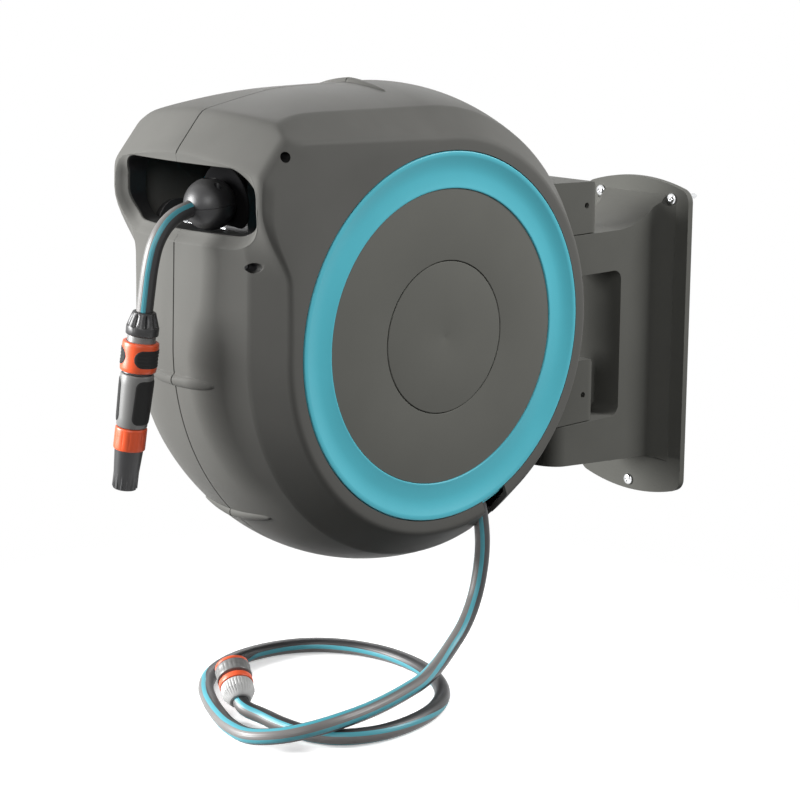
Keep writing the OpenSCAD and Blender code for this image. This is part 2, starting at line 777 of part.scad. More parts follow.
// Outlet connector and nozzle, drawn downwards from the top of the clamp nut
nut_top = [carriage_x, 0, 0] + lead_route[len(lead_route) - 2];
nut_ribs = 16;
rib_r = 1;
nut_lobes = 8;
lobe_r = 2.4;
lobe_from_share = 0.2;
nut_neck_r = 11;
nut_cone_share = 0.62;
thread_r = 11.5;
thread_l = 8;
gap_l = 0.6;
body_core_r = 13.4;
sleeve_bore_r = body_core_r + fit;
sleeve_edge = 1;
grip_t = 0.8;
grip_half_angle = 73;
grip_l = 17;
pad_turn = 22;
neck_l = 2.5;
inlay_half_angle = 60;
inlay_t = 0.9;
inlay_l = 43;
inlay_corner_r = 7;
body_taper = 1.2;
tip_step = 1.5;
tip_rib_from_share = 1 / 3;
tip_core_r = 9;
mouth_bore_r = 4;
tip_ribs = 14;
tip_rib_r = 1.1;

collar_at = nut_l + gap_l;
collar_l = sleeve_travel + collar_show;
sleeve_at = collar_at + collar_l;
body_at = sleeve_at + sleeve_l + neck_l;
ring_at = body_at + nozzle_body_l + gap_l;
tip_at = ring_at + nozzle_ring_l;

// Draws down along the hanging nozzle's own axis, from the top of the clamp nut
module at_nozzle(down) {
  at_reel() translate(nut_top) rotate([-lean_front, lean_side, 0]) translate([0, 0, -down]) mirror([0, 0, 1])
    children();
}

module ribs(count, r, rib, h0, h1) {
  for (i = [0:count - 1]) rotate(full_turn * i / count) translate([r, 0, h0])
    cylinder(r = rib, h = h1 - h0, $fn = 16);
}

module outlet_nut() {
  color("#2a2a2a") at_nozzle(0) difference() {
    union() {
      cylinder(r1 = nut_neck_r, r2 = nut_r, h = nut_l * nut_cone_share);
      translate([0, 0, nut_l * nut_cone_share]) cylinder(r = nut_r, h = nut_l * (1 - nut_cone_share));
      ribs(nut_lobes, nut_r - lobe_r - fit, lobe_r, nut_l * lobe_from_share, nut_l * nut_cone_share);
    }
    translate([0, 0, -over]) cylinder(r = hose_r + fit, h = nut_l + 2 * over);
    translate([0, 0, nut_l - thread_l]) cylinder(r = thread_r + fit, h = thread_l + over);
  }
}

module outlet_connector() {
  color("#77766f") at_nozzle(collar_at) difference() {
    union() {
      cylinder(r = body_core_r, h = body_at - collar_at);
      translate([0, 0, fit - thread_l]) cylinder(r = thread_r, h = thread_l);
    }
    translate([0, 0, -thread_l]) cylinder(r = water_r, h = body_at);
  }
}

module outlet_sleeve() {
  color("#e0532a") at_nozzle(sleeve_at) rotate_extrude() polygon([
    [sleeve_bore_r, 0], [sleeve_r - sleeve_edge, 0], [sleeve_r, sleeve_edge],
    [sleeve_r, sleeve_l - sleeve_edge], [sleeve_r - sleeve_edge, sleeve_l], [sleeve_bore_r, sleeve_l]]);
}

module sleeve_grips() {
  color("#2a2a2a") at_nozzle(sleeve_at + sleeve_l / 2)
    for (s = [0, 1]) rotate(full_turn / 2 * s + pad_turn) intersection() {
      rotate([0, 90, 0]) linear_extrude(sleeve_r + 2 * grip_t)
        rounded_rect(grip_l, 2 * sleeve_r * sin(grip_half_angle), grip_l / 2 - press);
      difference() {
        cylinder(r = sleeve_r + grip_t, h = grip_l, center = true);
        cylinder(r = sleeve_r + press, h = grip_l + over, center = true);
      }
    }
}

module nozzle_body() {
  color("#74736c") at_nozzle(body_at) difference() {
    union() {
      cylinder(r1 = nozzle_body_r, r2 = nozzle_body_r - body_taper, h = nozzle_body_l);
      translate([0, 0, nozzle_body_l]) cylinder(r = tip_core_r, h = nozzle_ring_l);
    }
    translate([0, 0, -over]) cylinder(r = water_r, h = nozzle_body_l + nozzle_ring_l + 2 * over);
  }
}

module nozzle_inlays() {
  color("#2a2a2a") at_nozzle(body_at + nozzle_body_l / 2)
    for (s = [0, 1]) rotate(full_turn / 2 * s + pad_turn) intersection() {
      rotate([0, 90, 0]) linear_extrude(nozzle_body_r + 2 * inlay_t)
        rounded_rect(inlay_l, 2 * nozzle_body_r * sin(inlay_half_angle), inlay_corner_r);
      difference() {
        cylinder(r = nozzle_body_r + inlay_t, h = nozzle_body_l, center = true);
        cylinder(r1 = nozzle_body_r + press, r2 = nozzle_body_r - body_taper + press, h = nozzle_body_l,
          center = true);
      }
    }
}

module nozzle_ring() {
  color("#e0532a") at_nozzle(ring_at) difference() {
    union() {
      cylinder(r = nozzle_ring_r, h = nozzle_ring_l);
      ribs(tip_ribs, nozzle_ring_r, rib_r / 2, rib_r, nozzle_ring_l - rib_r);
    }
    translate([0, 0, -over]) cylinder(r = tip_core_r + fit, h = nozzle_ring_l + 2 * over);
  }
}

module nozzle_tip() {
  color("#232323") at_nozzle(tip_at) difference() {
    union() {
      cylinder(r1 = nozzle_ring_r - tip_step, r2 = nozzle_mouth_r, h = nozzle_tip_l);
      ribs(tip_ribs, nozzle_mouth_r, tip_rib_r, nozzle_tip_l * tip_rib_from_share, nozzle_tip_l - tip_rib_r);
    }
    translate([0, 0, -over]) cylinder(r = mouth_bore_r, h = nozzle_tip_l + 2 * over);
  }
}

// Route of the supply hose from the inlet elbow through the slot, down and round in a loop,
// from the middle of the slot
drawn_supply = [[0, 17.1, -44.6], [0, 36, -92], [0, 52, -138], [0, 64.5, -175], [0, 72, -205], [0, 75, -235],
  [0, 72, -264], [2, 62, -292], [8, 42, -315], [16, 15, -331], [30, -18, -340], [45, -52, -343],
  [56, -86, -343], [64, -119, -343], [69, -152, -343], [70, -185, -343], [62, -216, -346],
  [42, -238, -352], [12, -249, -358], [-24, -245, -360], [-60, -233, -360], [-93, -218, -360],
  [-123, -200, -360], [-148, -174, -360], [-164, -140, -360], [-168, -104, -360], [-161, -68, -360],
  [-142, -36, -360], [-112, -13, -360], [-76, 0, -360], [-38, 3, -360], [0, -3, -360],
  [34, -18, -360], [62, -42, -360], [81, -74, -360], [89, -111, -360], [87, -148, -360],
  [72, -180, -360], [45, -199, -360], [12, -207, -359], [-16, -210, -357], [-36, -215, -354],
  [-48, -213, -350], [-59, -207.7, -343.2]];
supply_route = [for (p = drawn_supply) [hose_x + p[0], p[1] * reel_share, p[2] * reel_share]];
supply_sides = 10;

module supply_hose() {
  color("#6d6c68") at_reel() tube_skin(tube_rings(supply_route, hose_r, supply_sides, [1, 0, 0]));
}

// Supply connector, drawn along its own axis from the hose end of the clamp nut
supply_at = supply_route[len(supply_route) - 2];
supply_tilt = 61;
supply_turn = 154.5;
band_l = 6;
rim_l = 3;
supply_core_r = 13;
supply_flange_r = 17.2;
supply_neck_r = 10.5;
sleeve_gap = 2.5;

module at_supply(along) {
  at_reel() translate(supply_at) rotate([0, supply_tilt, supply_turn]) translate([0, 0, along]) children();
}

module supply_nut() {
  color("#b9b9b5") at_supply(0) difference() {
    union() {
      cylinder(r1 = supply_neck_r, r2 = supply_nut_r, h = supply_nut_l / 2);
      translate([0, 0, supply_nut_l / 2]) cylinder(r = supply_nut_r, h = supply_nut_l / 2);
      ribs(2 * nut_ribs, supply_nut_r, rib_r / 2, supply_nut_l / 2, supply_nut_l - rib_r);
    }
    translate([0, 0, -over]) cylinder(r = hose_r + fit, h = supply_nut_l + 2 * over);
  }
}

module supply_connector() {
  color("#e0532a") at_supply(supply_nut_l) difference() {
    rotate_extrude() polygon([[0, 0], [supply_flange_r, 0], [supply_flange_r, band_l],
      [supply_core_r, band_l], [supply_core_r, supply_body_l - rim_l],
      [supply_flange_r, supply_body_l - rim_l], [supply_flange_r, supply_body_l], [0, supply_body_l]]);
    translate([0, 0, -over]) cylinder(r = water_r, h = supply_body_l + 2 * over);
    translate([0, 0, supply_body_l - socket_depth]) cylinder(r = socket_r, h = socket_depth + over);
  }
}

module supply_sleeve() {
  color("#5f5e59") at_supply(supply_nut_l + band_l + sleeve_gap + fit) difference() {
    cylinder(r = supply_sleeve_r, h = supply_sleeve_l);
    translate([0, 0, -over]) cylinder(r = supply_core_r + fit, h = supply_sleeve_l + 2 * over);
  }
}

// Ratchet wheel on the right flange and its pawl
ratchet_t = 4.5;
ratchet_x = drum_half_w + flange_t;
pawl_r = 3;
pawl_gap = 1.5;
pawl_off = 20;
pawl_boss_r = 7;
pawl_pivot = polar(tooth_tip_r + pawl_off, 60);
pawl_nose = polar(tooth_tip_r + pawl_r + pawl_gap, 89);
tooth_share = 0.9;
pawl_pin_r = 3;
pawl_play = 0.5;

module ratchet_wheel() {
  color("#c9c5b8") at_reel() plate_x(ratchet_x, ratchet_t) difference() {
    polygon([for (i = [0:tooth_count - 1]) each [polar(tooth_tip_r, full_turn * i / tooth_count),
      polar(tooth_tip_r - tooth_h, full_turn * (i + tooth_share) / tooth_count)]]);
    circle(shaft_r + fit);
  }
}

module ratchet_pawl() {
  reach = norm(pawl_nose - pawl_pivot);
  color("#b9bbbd") at_reel() plate_x(ratchet_x + pawl_play, ratchet_t - pawl_play) difference() {
    union() {
      translate(pawl_pivot) circle(pawl_boss_r);
      translate(pawl_nose) circle(pawl_r);
      translate(pawl_pivot) rotate(atan2(pawl_nose[1] - pawl_pivot[1], pawl_nose[0] - pawl_pivot[0]))
        translate([0, -pawl_r]) square([reach, 2 * pawl_r]);
    }
    translate(pawl_pivot) circle(pawl_pin_r + fit);
  }
}

module pawl_pin() {
  color("#9a9b98") at_reel() translate([0, pawl_pivot[0], pawl_pivot[1]])
    rod_x(pawl_pin_r, ratchet_x + pawl_play, cover_top - cover_t - press);
}

// Wall bracket: plate outline with arched ends, then the C-shaped arms
plate_arch_r = 230;
plate_corner_r = 16;
corner_steps = 8;
arch_z = plate_h / 2 - plate_arch_r;
corner_x = plate_w / 2 - plate_corner_r;
corner_z = arch_z + sqrt(pow(plate_arch_r - plate_corner_r, 2) - pow(corner_x, 2));
corner_a = atan2(corner_z - arch_z, corner_x);
plate_right = concat(arc([corner_x, corner_z], plate_corner_r, 0, corner_a, corner_steps),
  arc([0, arch_z], plate_arch_r, corner_a, 90, corner_steps));
plate_top = concat(plate_right,
  [for (i = [len(plate_right) - 2:-1:0]) [-plate_right[i][0], plate_right[i][1]]]);
plate_outline = concat(plate_top,
  [for (i = [len(plate_top) - 1:-1:0]) [plate_top[i][0], -plate_top[i][1]]]);

front_corner_r = 28;
arm_lead = 56;
arm_front = pivot_off + arm_lead;
window_clear = 59;
window_back = pivot_off - window_clear;
arm_root = 27;
flare_w = 20;
saddle_clear = 54;
saddle_y = pivot_off - saddle_clear;
saddle_rise = 34;
lower_fall_h = 14;
foot_drop = 28;
window_r = 12;
bush_r = 13;
bush_flange_r = 19;
bush_flange_t = 1;
bush_depth = 40;
screw_inset = 22;
low_screw_inset = 12;
wall_screw_head_r = 6.5;
wall_screw_head_h = 4;
wall_screw_drive_r = 2.6;
wall_neck_r = 4;
head_edge = 1.5;
arc_steps = 12;

// Side view of the arms, as places of Y and Z, closed by the plate's front face
module arm_profile() {
  upper_floor = upper_arm_z - upper_arm_h;
  lower_floor = -lower_arm_z - lower_arm_h;
  difference() {
    polygon(concat(
      [[-arm_front, lower_floor], [-arm_root, lower_floor - lower_fall_h]],
      arc([-arm_root, lower_floor - lower_fall_h - foot_drop], foot_drop, 90,
        acos((arm_root - plate_t) / foot_drop), arc_steps),
      [[-plate_t, upper_arm_z + saddle_rise]],
      [for (i = [1:arc_steps]) let (u = i / arc_steps)
        [-plate_t - (saddle_y - plate_t) * u, upper_arm_z + saddle_rise * pow(1 - u, 2)]],
      [[-arm_front, upper_arm_z]]));
    translate([-arm_front - over, -lower_arm_z]) square([arm_front - window_back - window_r + over,
      upper_floor + lower_arm_z]);
    translate([-window_back - 2 * window_r, -lower_arm_z + window_r]) square([2 * window_r,
      upper_floor + lower_arm_z - 2 * window_r]);
    for (z = [-lower_arm_z + window_r, upper_floor - window_r])
      translate([-window_back - window_r, z]) circle(window_r);
  }
}

// Top view of the arms, as places of X and Y, with rounded ends and a flared root
module arm_plan() {
  front_x = arm_half_w - front_corner_r;
  translate([-arm_half_w, -arm_front + front_corner_r]) square([2 * arm_half_w, arm_front - front_corner_r]);
  translate([-front_x, -arm_front]) square([2 * front_x, front_corner_r]);
  for (s = [-1, 1]) translate([s * front_x, -arm_front + front_corner_r]) circle(front_corner_r);
  polygon(concat([for (i = [0:arc_steps]) let (u = i / arc_steps)
      [arm_half_w + flare_w * u * u, -arm_root + (arm_root - plate_t) * u]],
    [for (i = [arc_steps:-1:0]) let (u = i / arc_steps)
      [-arm_half_w - flare_w * u * u, -arm_root + (arm_root - plate_t) * u]]));
}

wall_screw_z = plate_h / 2 - screw_inset;
wall_screw_places = [[-screw_span / 2, wall_screw_z], [screw_span / 2, wall_screw_z],
  [0, low_screw_inset - plate_h / 2]];

module wall_bracket() {
  color("#53524d") difference() {
    union() {
      rotate([90, 0, 0]) linear_extrude(plate_t) polygon(plate_outline);
      intersection() {
        plate_x(-plate_w / 2, plate_w) arm_profile();
        translate([0, 0, -plate_h / 2]) linear_extrude(plate_h) arm_plan();
      }
    }
    for (z = [upper_arm_z, -lower_arm_z]) translate([0, -pivot_off, z - bush_depth])
      cylinder(r = bush_r, h = bush_depth + over);
    for (p = wall_screw_places) translate([p[0], over, p[1]]) rotate([90, 0, 0])
      cylinder(r = wall_neck_r + fit, h = plate_t + 2 * over);
    for (p = wall_screw_places) translate([p[0], -plate_t, p[1]]) rotate([90, 0, 0])
      cylinder(r = wall_screw_head_r + 2 * over, h = pivot_off / 2);
  }
}

module wall_screws() {
  color("#c9cbcd") for (p = wall_screw_places) translate([p[0], -plate_t, p[1]]) difference() {
    union() {
      rotate([90, 0, 0])
        cylinder(r1 = wall_screw_head_r, r2 = wall_screw_head_r - head_edge, h = wall_screw_head_h);
      rotate([-90, 0, 0]) cylinder(r = wall_neck_r, h = plate_t);
      rotate([-90, 0, 0]) cylinder(r = wall_screw_r, h = plate_t + wall_screw_l);
    }
    translate([0, -wall_screw_head_h / 2, 0]) rotate([90, 0, 0])
      cylinder(r = wall_screw_drive_r, h = wall_screw_head_h);
  }
}

module pivot_bushes() {
  color("#d8d2bf") for (z = [upper_arm_z, -lower_arm_z]) translate([0, -pivot_off, z]) difference() {
    union() {
      translate([0, 0, -bush_depth]) cylinder(r = bush_r, h = bush_depth);
      cylinder(r = bush_flange_r, h = bush_flange_t);
    }
    translate([0, 0, -bush_depth - over])
      cylinder(r = pin_r + fit, h = bush_depth + bush_flange_t + 2 * over);
  }
}

// Hinge knuckles on the back of the casing, with their pins and screws
knuckle_corner_r = 14;
knuckle_fall_h = 9;
knuckle_chamfer = 5;
pin_engage = 38;
pin_hold = 36;
lock_r = 3.4;
lock_sink = 6;
lock_z = 31;
bolt_r = 3;
bolt_l = 26;
bolt_head_r = 5.5;
bolt_head_h = 3.5;
knuckle_bolt_x = 24;
upper_base_z = upper_arm_z + bush_flange_t + fit;
lower_base_z = -lower_arm_z + bush_flange_t + fit;
knuckle_front = pivot_off + swivel_gap;
knuckle_bolt_z = [upper_base_z - drum_z + upper_knuckle_h / 2, lower_base_z - drum_z + lower_knuckle_h / 2];

module knuckle(base_z, h) {
  tail = pivot_off - knuckle_tail;
  color("#55544f") difference() {
    intersection() {
      translate([0, 0, base_z]) linear_extrude(h) {
        translate([-knuckle_half_w, -knuckle_front]) square([2 * knuckle_half_w,
          knuckle_front - tail - knuckle_corner_r]);
        translate([-knuckle_half_w + knuckle_corner_r, -tail - 2 * knuckle_corner_r])
          square([2 * (knuckle_half_w - knuckle_corner_r), 2 * knuckle_corner_r]);
        for (s = [-1, 1]) translate([s * (knuckle_half_w - knuckle_corner_r), -tail - knuckle_corner_r])
          circle(knuckle_corner_r);
      }
      plate_x(-knuckle_half_w, 2 * knuckle_half_w) polygon([
        [-knuckle_front, base_z], [-tail, base_z], [-tail - knuckle_chamfer, base_z + h - knuckle_fall_h],
        [-tail - 2 * knuckle_chamfer, base_z + h - knuckle_fall_h + knuckle_chamfer],
        [-knuckle_front, base_z + h]]);
    }
    translate([0, -pivot_off, base_z - over]) cylinder(r = pin_r, h = pin_hold + over);
    translate([0, -pivot_off, base_z + lock_z]) rod_x(lock_r, 0, knuckle_half_w + over);
    for (s = [-1, 1]) translate([s * knuckle_bolt_x, -knuckle_front - over, base_z + h / 2])
      rotate([-90, 0, 0]) cylinder(r = bolt_r, h = bolt_l + over);
  }
}

module upper_knuckle() { knuckle(upper_base_z, upper_knuckle_h); }
module lower_knuckle() { knuckle(lower_base_z, lower_knuckle_h); }

module pivot_pins() {
  color("#c9cbcd") for (z = [upper_base_z, lower_base_z]) translate([0, -pivot_off, z - pin_engage])
    cylinder(r = pin_r, h = pin_engage + pin_hold);
}

module pin_lock_screws() {
  color("#2b2b2b") for (z = [upper_base_z, lower_base_z]) translate([0, -pivot_off, z + lock_z])
    rod_x(lock_r, pin_r, knuckle_half_w - lock_sink);
}

module knuckle_bolts() {
  color("#8f9092") at_reel() for (z = knuckle_bolt_z, s = [-1, 1])
    translate([s * knuckle_bolt_x, back_flat - casing_wall * wall_slope_share, z]) {
      rotate([-90, 0, 0]) cylinder(r = bolt_r, h = casing_wall * wall_slope_share + bolt_l);
      rotate([90, 0, 0]) cylinder(r = bolt_head_r, h = bolt_head_h);
    }
}

wall_bracket();
wall_screws();
pivot_bushes();
casing_right();
casing_left();
side_ring_right();
side_ring_left();
side_cover_right();
side_cover_left();
hub_cap_right();
hub_cap_left();
casing_screws();
upper_knuckle();
lower_knuckle();
knuckle_bolts();
pivot_pins();
pin_lock_screws();
guide_rod();
drive_belt();
spring_arbor();
mainspring();
inlet_elbow();
inlet_seals();
drum_bushes();
pawl_pin();
supply_hose();
supply_nut();
supply_connector();
supply_sleeve();
drum_core();
drum_shaft();
drum_flange_right();
drum_flange_left();
wound_hose_core();
wound_hose();
drum_pulley();
ratchet_wheel();
ratchet_pawl();
traverse_screw();
screw_pulley();
hose_guide();
stop_ball_upper();
stop_ball_lower();
stop_ball_screw();
hose_lead();
outlet_nut();
outlet_connector();
outlet_sleeve();
sleeve_grips();
nozzle_body();
nozzle_inlays();
nozzle_ring();
nozzle_tip();
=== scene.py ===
# %% [markdown]
# # Wall mounted hose reel
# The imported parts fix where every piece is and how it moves. This notebook dresses them: it builds
# finer surfaces over the plain solids, gives each one a material made of nodes, and lights a small
# studio round them. Lengths are in millimetres in the formulas and in metres in the scene.

import json
import math

import bmesh
import bpy
import numpy as np
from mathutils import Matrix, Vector


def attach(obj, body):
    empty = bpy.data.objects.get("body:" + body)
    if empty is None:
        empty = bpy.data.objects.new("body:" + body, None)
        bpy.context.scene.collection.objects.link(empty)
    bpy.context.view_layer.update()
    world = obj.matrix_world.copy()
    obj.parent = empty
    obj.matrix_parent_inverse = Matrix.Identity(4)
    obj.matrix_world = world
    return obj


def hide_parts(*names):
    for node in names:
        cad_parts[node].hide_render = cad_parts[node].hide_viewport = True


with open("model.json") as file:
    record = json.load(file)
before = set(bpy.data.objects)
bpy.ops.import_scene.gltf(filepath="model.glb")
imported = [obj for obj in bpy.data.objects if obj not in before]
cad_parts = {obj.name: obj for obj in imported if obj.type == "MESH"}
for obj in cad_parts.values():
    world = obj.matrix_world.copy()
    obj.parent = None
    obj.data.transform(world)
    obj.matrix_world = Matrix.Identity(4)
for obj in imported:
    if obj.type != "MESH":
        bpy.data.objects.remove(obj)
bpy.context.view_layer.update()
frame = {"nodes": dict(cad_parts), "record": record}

# %% [markdown]
# ## Camera
# The camera stands where the photograph was taken from. Its place comes from matching the casing's
# outline, the side ring and the wall plate, all of known size, with the picture.

# %% Camera
MM = 0.001
CAMERA_AT = np.array([1540.3, -1774.8, 467.3]) * MM
CAMERA_TO = np.array([122.0, -490.4, 17.7]) * MM
LENS, SENSOR = 90, 36

scene = bpy.context.scene


def aimed(name, data, place, aim):
    """A new object at place that looks towards aim."""
    obj = bpy.data.objects.new(name, data)
    obj.location, obj.rotation_mode = place, "QUATERNION"
    obj.rotation_quaternion = Vector(np.subtract(aim, place)).to_track_quat("-Z", "Y")
    scene.collection.objects.link(obj)
    return obj


scene.view_settings.view_transform = "Standard"
camera = aimed("camera", bpy.data.cameras.new("camera"), CAMERA_AT, CAMERA_TO)
camera.data.lens, camera.data.sensor_width = LENS, SENSOR
camera.data.clip_start, camera.data.clip_end = 0.05, 50
scene.camera = camera
print("camera at", CAMERA_AT.round(3))

# %% [markdown]
# ## Tools for building
# Every new surface is a grid of points worked out as one array: rows follow one direction of the
# surface and columns the other. A few functions turn such grids into meshes, weld their borders
# and hand them to the body that they move with.

# %% Mesh tools
DRUM = np.array([0.0, -426.0, 71.0])
SHARP, ROUND = 35, 48


def joined(*parts):
    """Arrays side by side as the last axis, each repeated to the shape that all of them make."""
    return np.stack(np.broadcast_arrays(*parts), -1)


def at_reel(points):
    """Moves points given from the drum axis, in mm, to the part's frame, in metres."""
    return (np.asarray(points, float) + DRUM) * MM


def smooth(start, end, t):
    """Rises from 0 at start to 1 at end as 3u^2 - 2u^3, where u is the share of the way."""
    u = np.clip((t - start) / (end - start), 0, 1)
    return u * u * (3 - 2 * u)


def unit(v):
    """Each vector divided by its own length."""
    v = np.asarray(v, float)
    return v / np.linalg.norm(v, axis=-1, keepdims=True)


def grid_faces(rows, cols, loop_rows=False, loop_cols=False):
    """Four-cornered faces of a grid of rows x cols points, numbered row by row."""
    i = np.arange(rows if loop_rows else rows - 1)[:, None]
    j = np.arange(cols if loop_cols else cols - 1)[None, :]
    i1, j1 = (i + 1) % rows, (j + 1) % cols
    corners = [i * cols + j, i * cols + j1, i1 * cols + j1, i1 * cols + j]
    return np.stack([c + 0 * (i + j) for c in corners], -1).reshape(-1, 4)


def weld(verts, faces):
    """Joins points that lie within a micrometre and drops the corners that fall together."""
    keys = np.round(verts / 1e-6).astype(np.int64)
    _, first, inverse = np.unique(keys, axis=0, return_index=True, return_inverse=True)
    inverse = inverse.reshape(-1)
    out = [list(dict.fromkeys(face)) for face in inverse[faces].tolist()]
    return verts[first], [face for face in out if len(face) > 2]


def new_object(name, verts, faces, uv=None, sharp=SHARP):
    """A smooth-shaded mesh whose edges stay sharp where faces meet at more than sharp degrees."""
    mesh = bpy.data.meshes.new(name)
    mesh.from_pydata(np.asarray(verts).tolist(), [], [list(map(int, f)) for f in faces])
    if uv is not None:
        mesh.uv_layers.new(name="UVMap").data.foreach_set("uv", np.asarray(uv, float).ravel())
    tidy_normals(mesh, sharp)
    obj = bpy.data.objects.new(name, mesh)
    scene.collection.objects.link(obj)
    return obj


def tidy_normals(mesh, sharp):
    """Turns all faces outwards and marks the sharp edges."""
    work = bmesh.new()
    work.from_mesh(mesh)
    bmesh.ops.recalc_face_normals(work, faces=work.faces)
    work.to_mesh(mesh)
    work.free()
    mesh.polygons.foreach_set("use_smooth", np.ones(len(mesh.polygons), bool))
    mesh.set_sharp_from_angle(angle=math.radians(sharp))
    mesh.update()


dressed = []


def dress(obj, body, slot, nodes=()):
    """Hands a piece to its body and its material slot, in place of the CAD nodes it stands for."""
    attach(obj, body)
    dressed.append((obj, slot))
    if nodes:
        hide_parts(*nodes)
    return obj


def revolve(profile, count, wave=None):
    """Points of a profile of (radius, height) turned about the height axis in count steps.

    Where wave is given, wave(angle, radius, height) is added to each radius."""
    profile = np.asarray(profile, float)
    angle = np.linspace(0, 2 * np.pi, count, endpoint=False)[None, :]
    radius, height = profile[:, :1] + 0 * angle, profile[:, 1:] + 0 * angle
    if wave is not None:
        radius = radius + wave(angle, radius, height)
    return joined(radius * np.cos(angle), radius * np.sin(angle), height)


def turned(name, profile, count, place, body, slot, nodes=(), wave=None, sharp=SHARP):
    """A turned piece: the profile is a closed loop of (radius, height), put in place by place()."""
    points = revolve(profile, count, wave)
    verts, faces = weld(place(points.reshape(-1, 3)), grid_faces(len(profile), count, True, True))
    return dress(new_object(name, verts, faces, sharp=sharp), body, slot, nodes)


def rounded(corners, radius, steps=4):
    """A closed outline with each corner replaced by a curve that starts radius before it.

    The curve is the quadratic one that keeps the directions of both sides."""
    corners = np.asarray(corners, float)
    before, after = np.roll(corners, 1, 0) - corners, np.roll(corners, -1, 0) - corners
    long_b = np.linalg.norm(before, axis=1, keepdims=True)
    long_a = np.linalg.norm(after, axis=1, keepdims=True)
    reach = np.minimum(radius, 0.49 * np.minimum(long_a, long_b))
    a, b = corners + before / long_b * reach, corners + after / long_a * reach
    t = np.linspace(0, 1, steps)[None, :, None]
    curve = (1 - t) ** 2 * a[:, None] + 2 * t * (1 - t) * corners[:, None] + t**2 * b[:, None]
    return curve.reshape(-1, 2)


def along_x(side):
    """Puts a piece that was turned about its height on the drum axis, facing side +1 or -1."""
    return lambda p: at_reel(joined(side * p[:, 2], p[:, 0], p[:, 1]))


def along_axis(origin, axis):
    """Puts a turned piece at origin, mm from the drum axis, with its height along axis."""
    w = unit(axis)
    u = unit(np.cross([1.0, 0.0, 0.0], w))
    basis = np.stack([np.cross(w, u), -u, w])
    return lambda p: at_reel(np.asarray(origin) + p @ basis)


print("tools ready")

# %% [markdown]
# ## Hoses
# A hose follows its route through a smooth curve. Each ring is turned so that the middle of the hose's
# grey stripe looks as far as it can in a chosen direction, which may change along the way. The surface
# map of the hose holds the distance along it and the way round it.

# %% Hose tools
HOSE_R = 8.0


def distances(path):
    """Distance along a path from its start to each of its points."""
    return np.concatenate([[0], np.cumsum(np.linalg.norm(np.diff(path, axis=0), axis=1))])


def path_through(points, step):
    """A curve through the points, by Catmull and Rom's formula, cut into pieces of about step."""
    p = np.asarray(points, float)
    p = np.vstack([2 * p[0] - p[1], p, 2 * p[-1] - p[-2]])
    t = np.linspace(0, 1, 24, endpoint=False)[None, :, None]
    a, b, c, d = (p[i : len(p) - 3 + i, None] for i in range(4))
    square, cube = 2 * a - 5 * b + 4 * c - d, 3 * b - a - 3 * c + d
    curve = 0.5 * (2 * b + (c - a) * t + square * t**2 + cube * t**3)
    curve = np.vstack([curve.reshape(-1, 3), p[-2]])
    run = distances(curve)
    even = np.linspace(0, run[-1], int(run[-1] / step) + 1)
    return np.stack([np.interp(even, run, curve[:, k]) for k in range(3)], -1)


def tube(path, radius, sides, facing):
    """Verts, faces and surface map of a tube with closed ends.

    Each ring starts at facing less its part along the path, so the map's zero looks that way."""
    along = unit(np.gradient(path, axis=0))
    facing = np.broadcast_to(np.asarray(facing, float), path.shape)
    u = unit(facing - (facing * along).sum(1, keepdims=True) * along)
    v = np.cross(along, u)
    angle = 2 * np.pi * np.arange(sides) / sides
    ring = np.cos(angle)[None, :, None] * u[:, None] + np.sin(angle)[None, :, None] * v[:, None]
    verts = (path[:, None] + radius * ring).reshape(-1, 3)
    rows = len(path)
    faces = grid_faces(rows, sides, False, True)
    run = distances(path)
    i, j = np.divmod(np.arange(len(faces)), sides)
    way = joined(j, j + 1, j + 1, j) / sides
    far = run[joined(i, i, i + 1, i + 1)] * MM
    uv = joined(far, way).reshape(-1, 2)
    ends = [np.arange(sides)[::-1], (rows - 1) * sides + np.arange(sides)]
    uv = np.vstack([uv, np.tile([0.0, 0.5], (2 * sides, 1))])
    return verts, faces.tolist() + [e.tolist() for e in ends], uv, run[-1]


def hose(name, path, body, nodes, facing, sides=24):
    """A striped hose along a path in mm from the drum axis; also returns its length in metres."""
    verts, faces, uv, length = tube(path, HOSE_R, sides, facing)
    obj = new_object(name, at_reel(verts), faces, uv, sharp=60)
    return dress(obj, body, "hose_rubber", nodes), length * MM


# %% [markdown]
# The supply hose leaves the inlet elbow, comes out of the slot under the side ring and lies in a
# loop on the ground. The outlet hose runs from the drum through the stop ball to the nozzle.

# %% Supply hose and outlet hose
SUPPLY = [(98, 17.1, -44.6), (98, 36, -92), (98, 52, -138), (98, 64.5, -175), (98, 72, -205),
          (98, 75, -235), (98, 72, -264), (100, 62, -292), (106, 42, -315), (114, 15, -331),
          (128, -18, -340), (143, -52, -343), (154, -86, -343), (162, -119, -343), (167, -152, -343),
          (168, -185, -343), (160, -216, -346), (140, -238, -352), (110, -249, -358), (74, -245, -360),
          (38, -233, -360), (5, -218, -360), (-25, -200, -360), (-50, -174, -360), (-66, -140, -360),
          (-70, -104, -360), (-63, -68, -360), (-44, -36, -360), (-14, -13, -360), (22, 0, -360),
          (60, 3, -360), (98, -3, -360), (132, -18, -360), (160, -42, -360), (179, -74, -360),
          (187, -111, -360), (185, -148, -360), (170, -180, -360), (143, -199, -360), (110, -207, -359),
          (82, -210, -357), (62, -215, -354), (50, -213, -350), (39, -207.7, -343.2)]
CARRIAGE_X = 29
LEAD = [(0, -19, 168.1), (0, -60, 163.3), (0, -100, 158.8), (0, -140, 154.2), (0, -180, 149.7),
        (0, -222, 144.9), (0, -246, 142), (-0.5, -262, 137), (-1, -275, 127), (-2.5, -284, 112),
        (-4.5, -289, 92), (-7, -291.5, 70), (-9, -293.5, 50), (-10.5, -294.8, 36)]
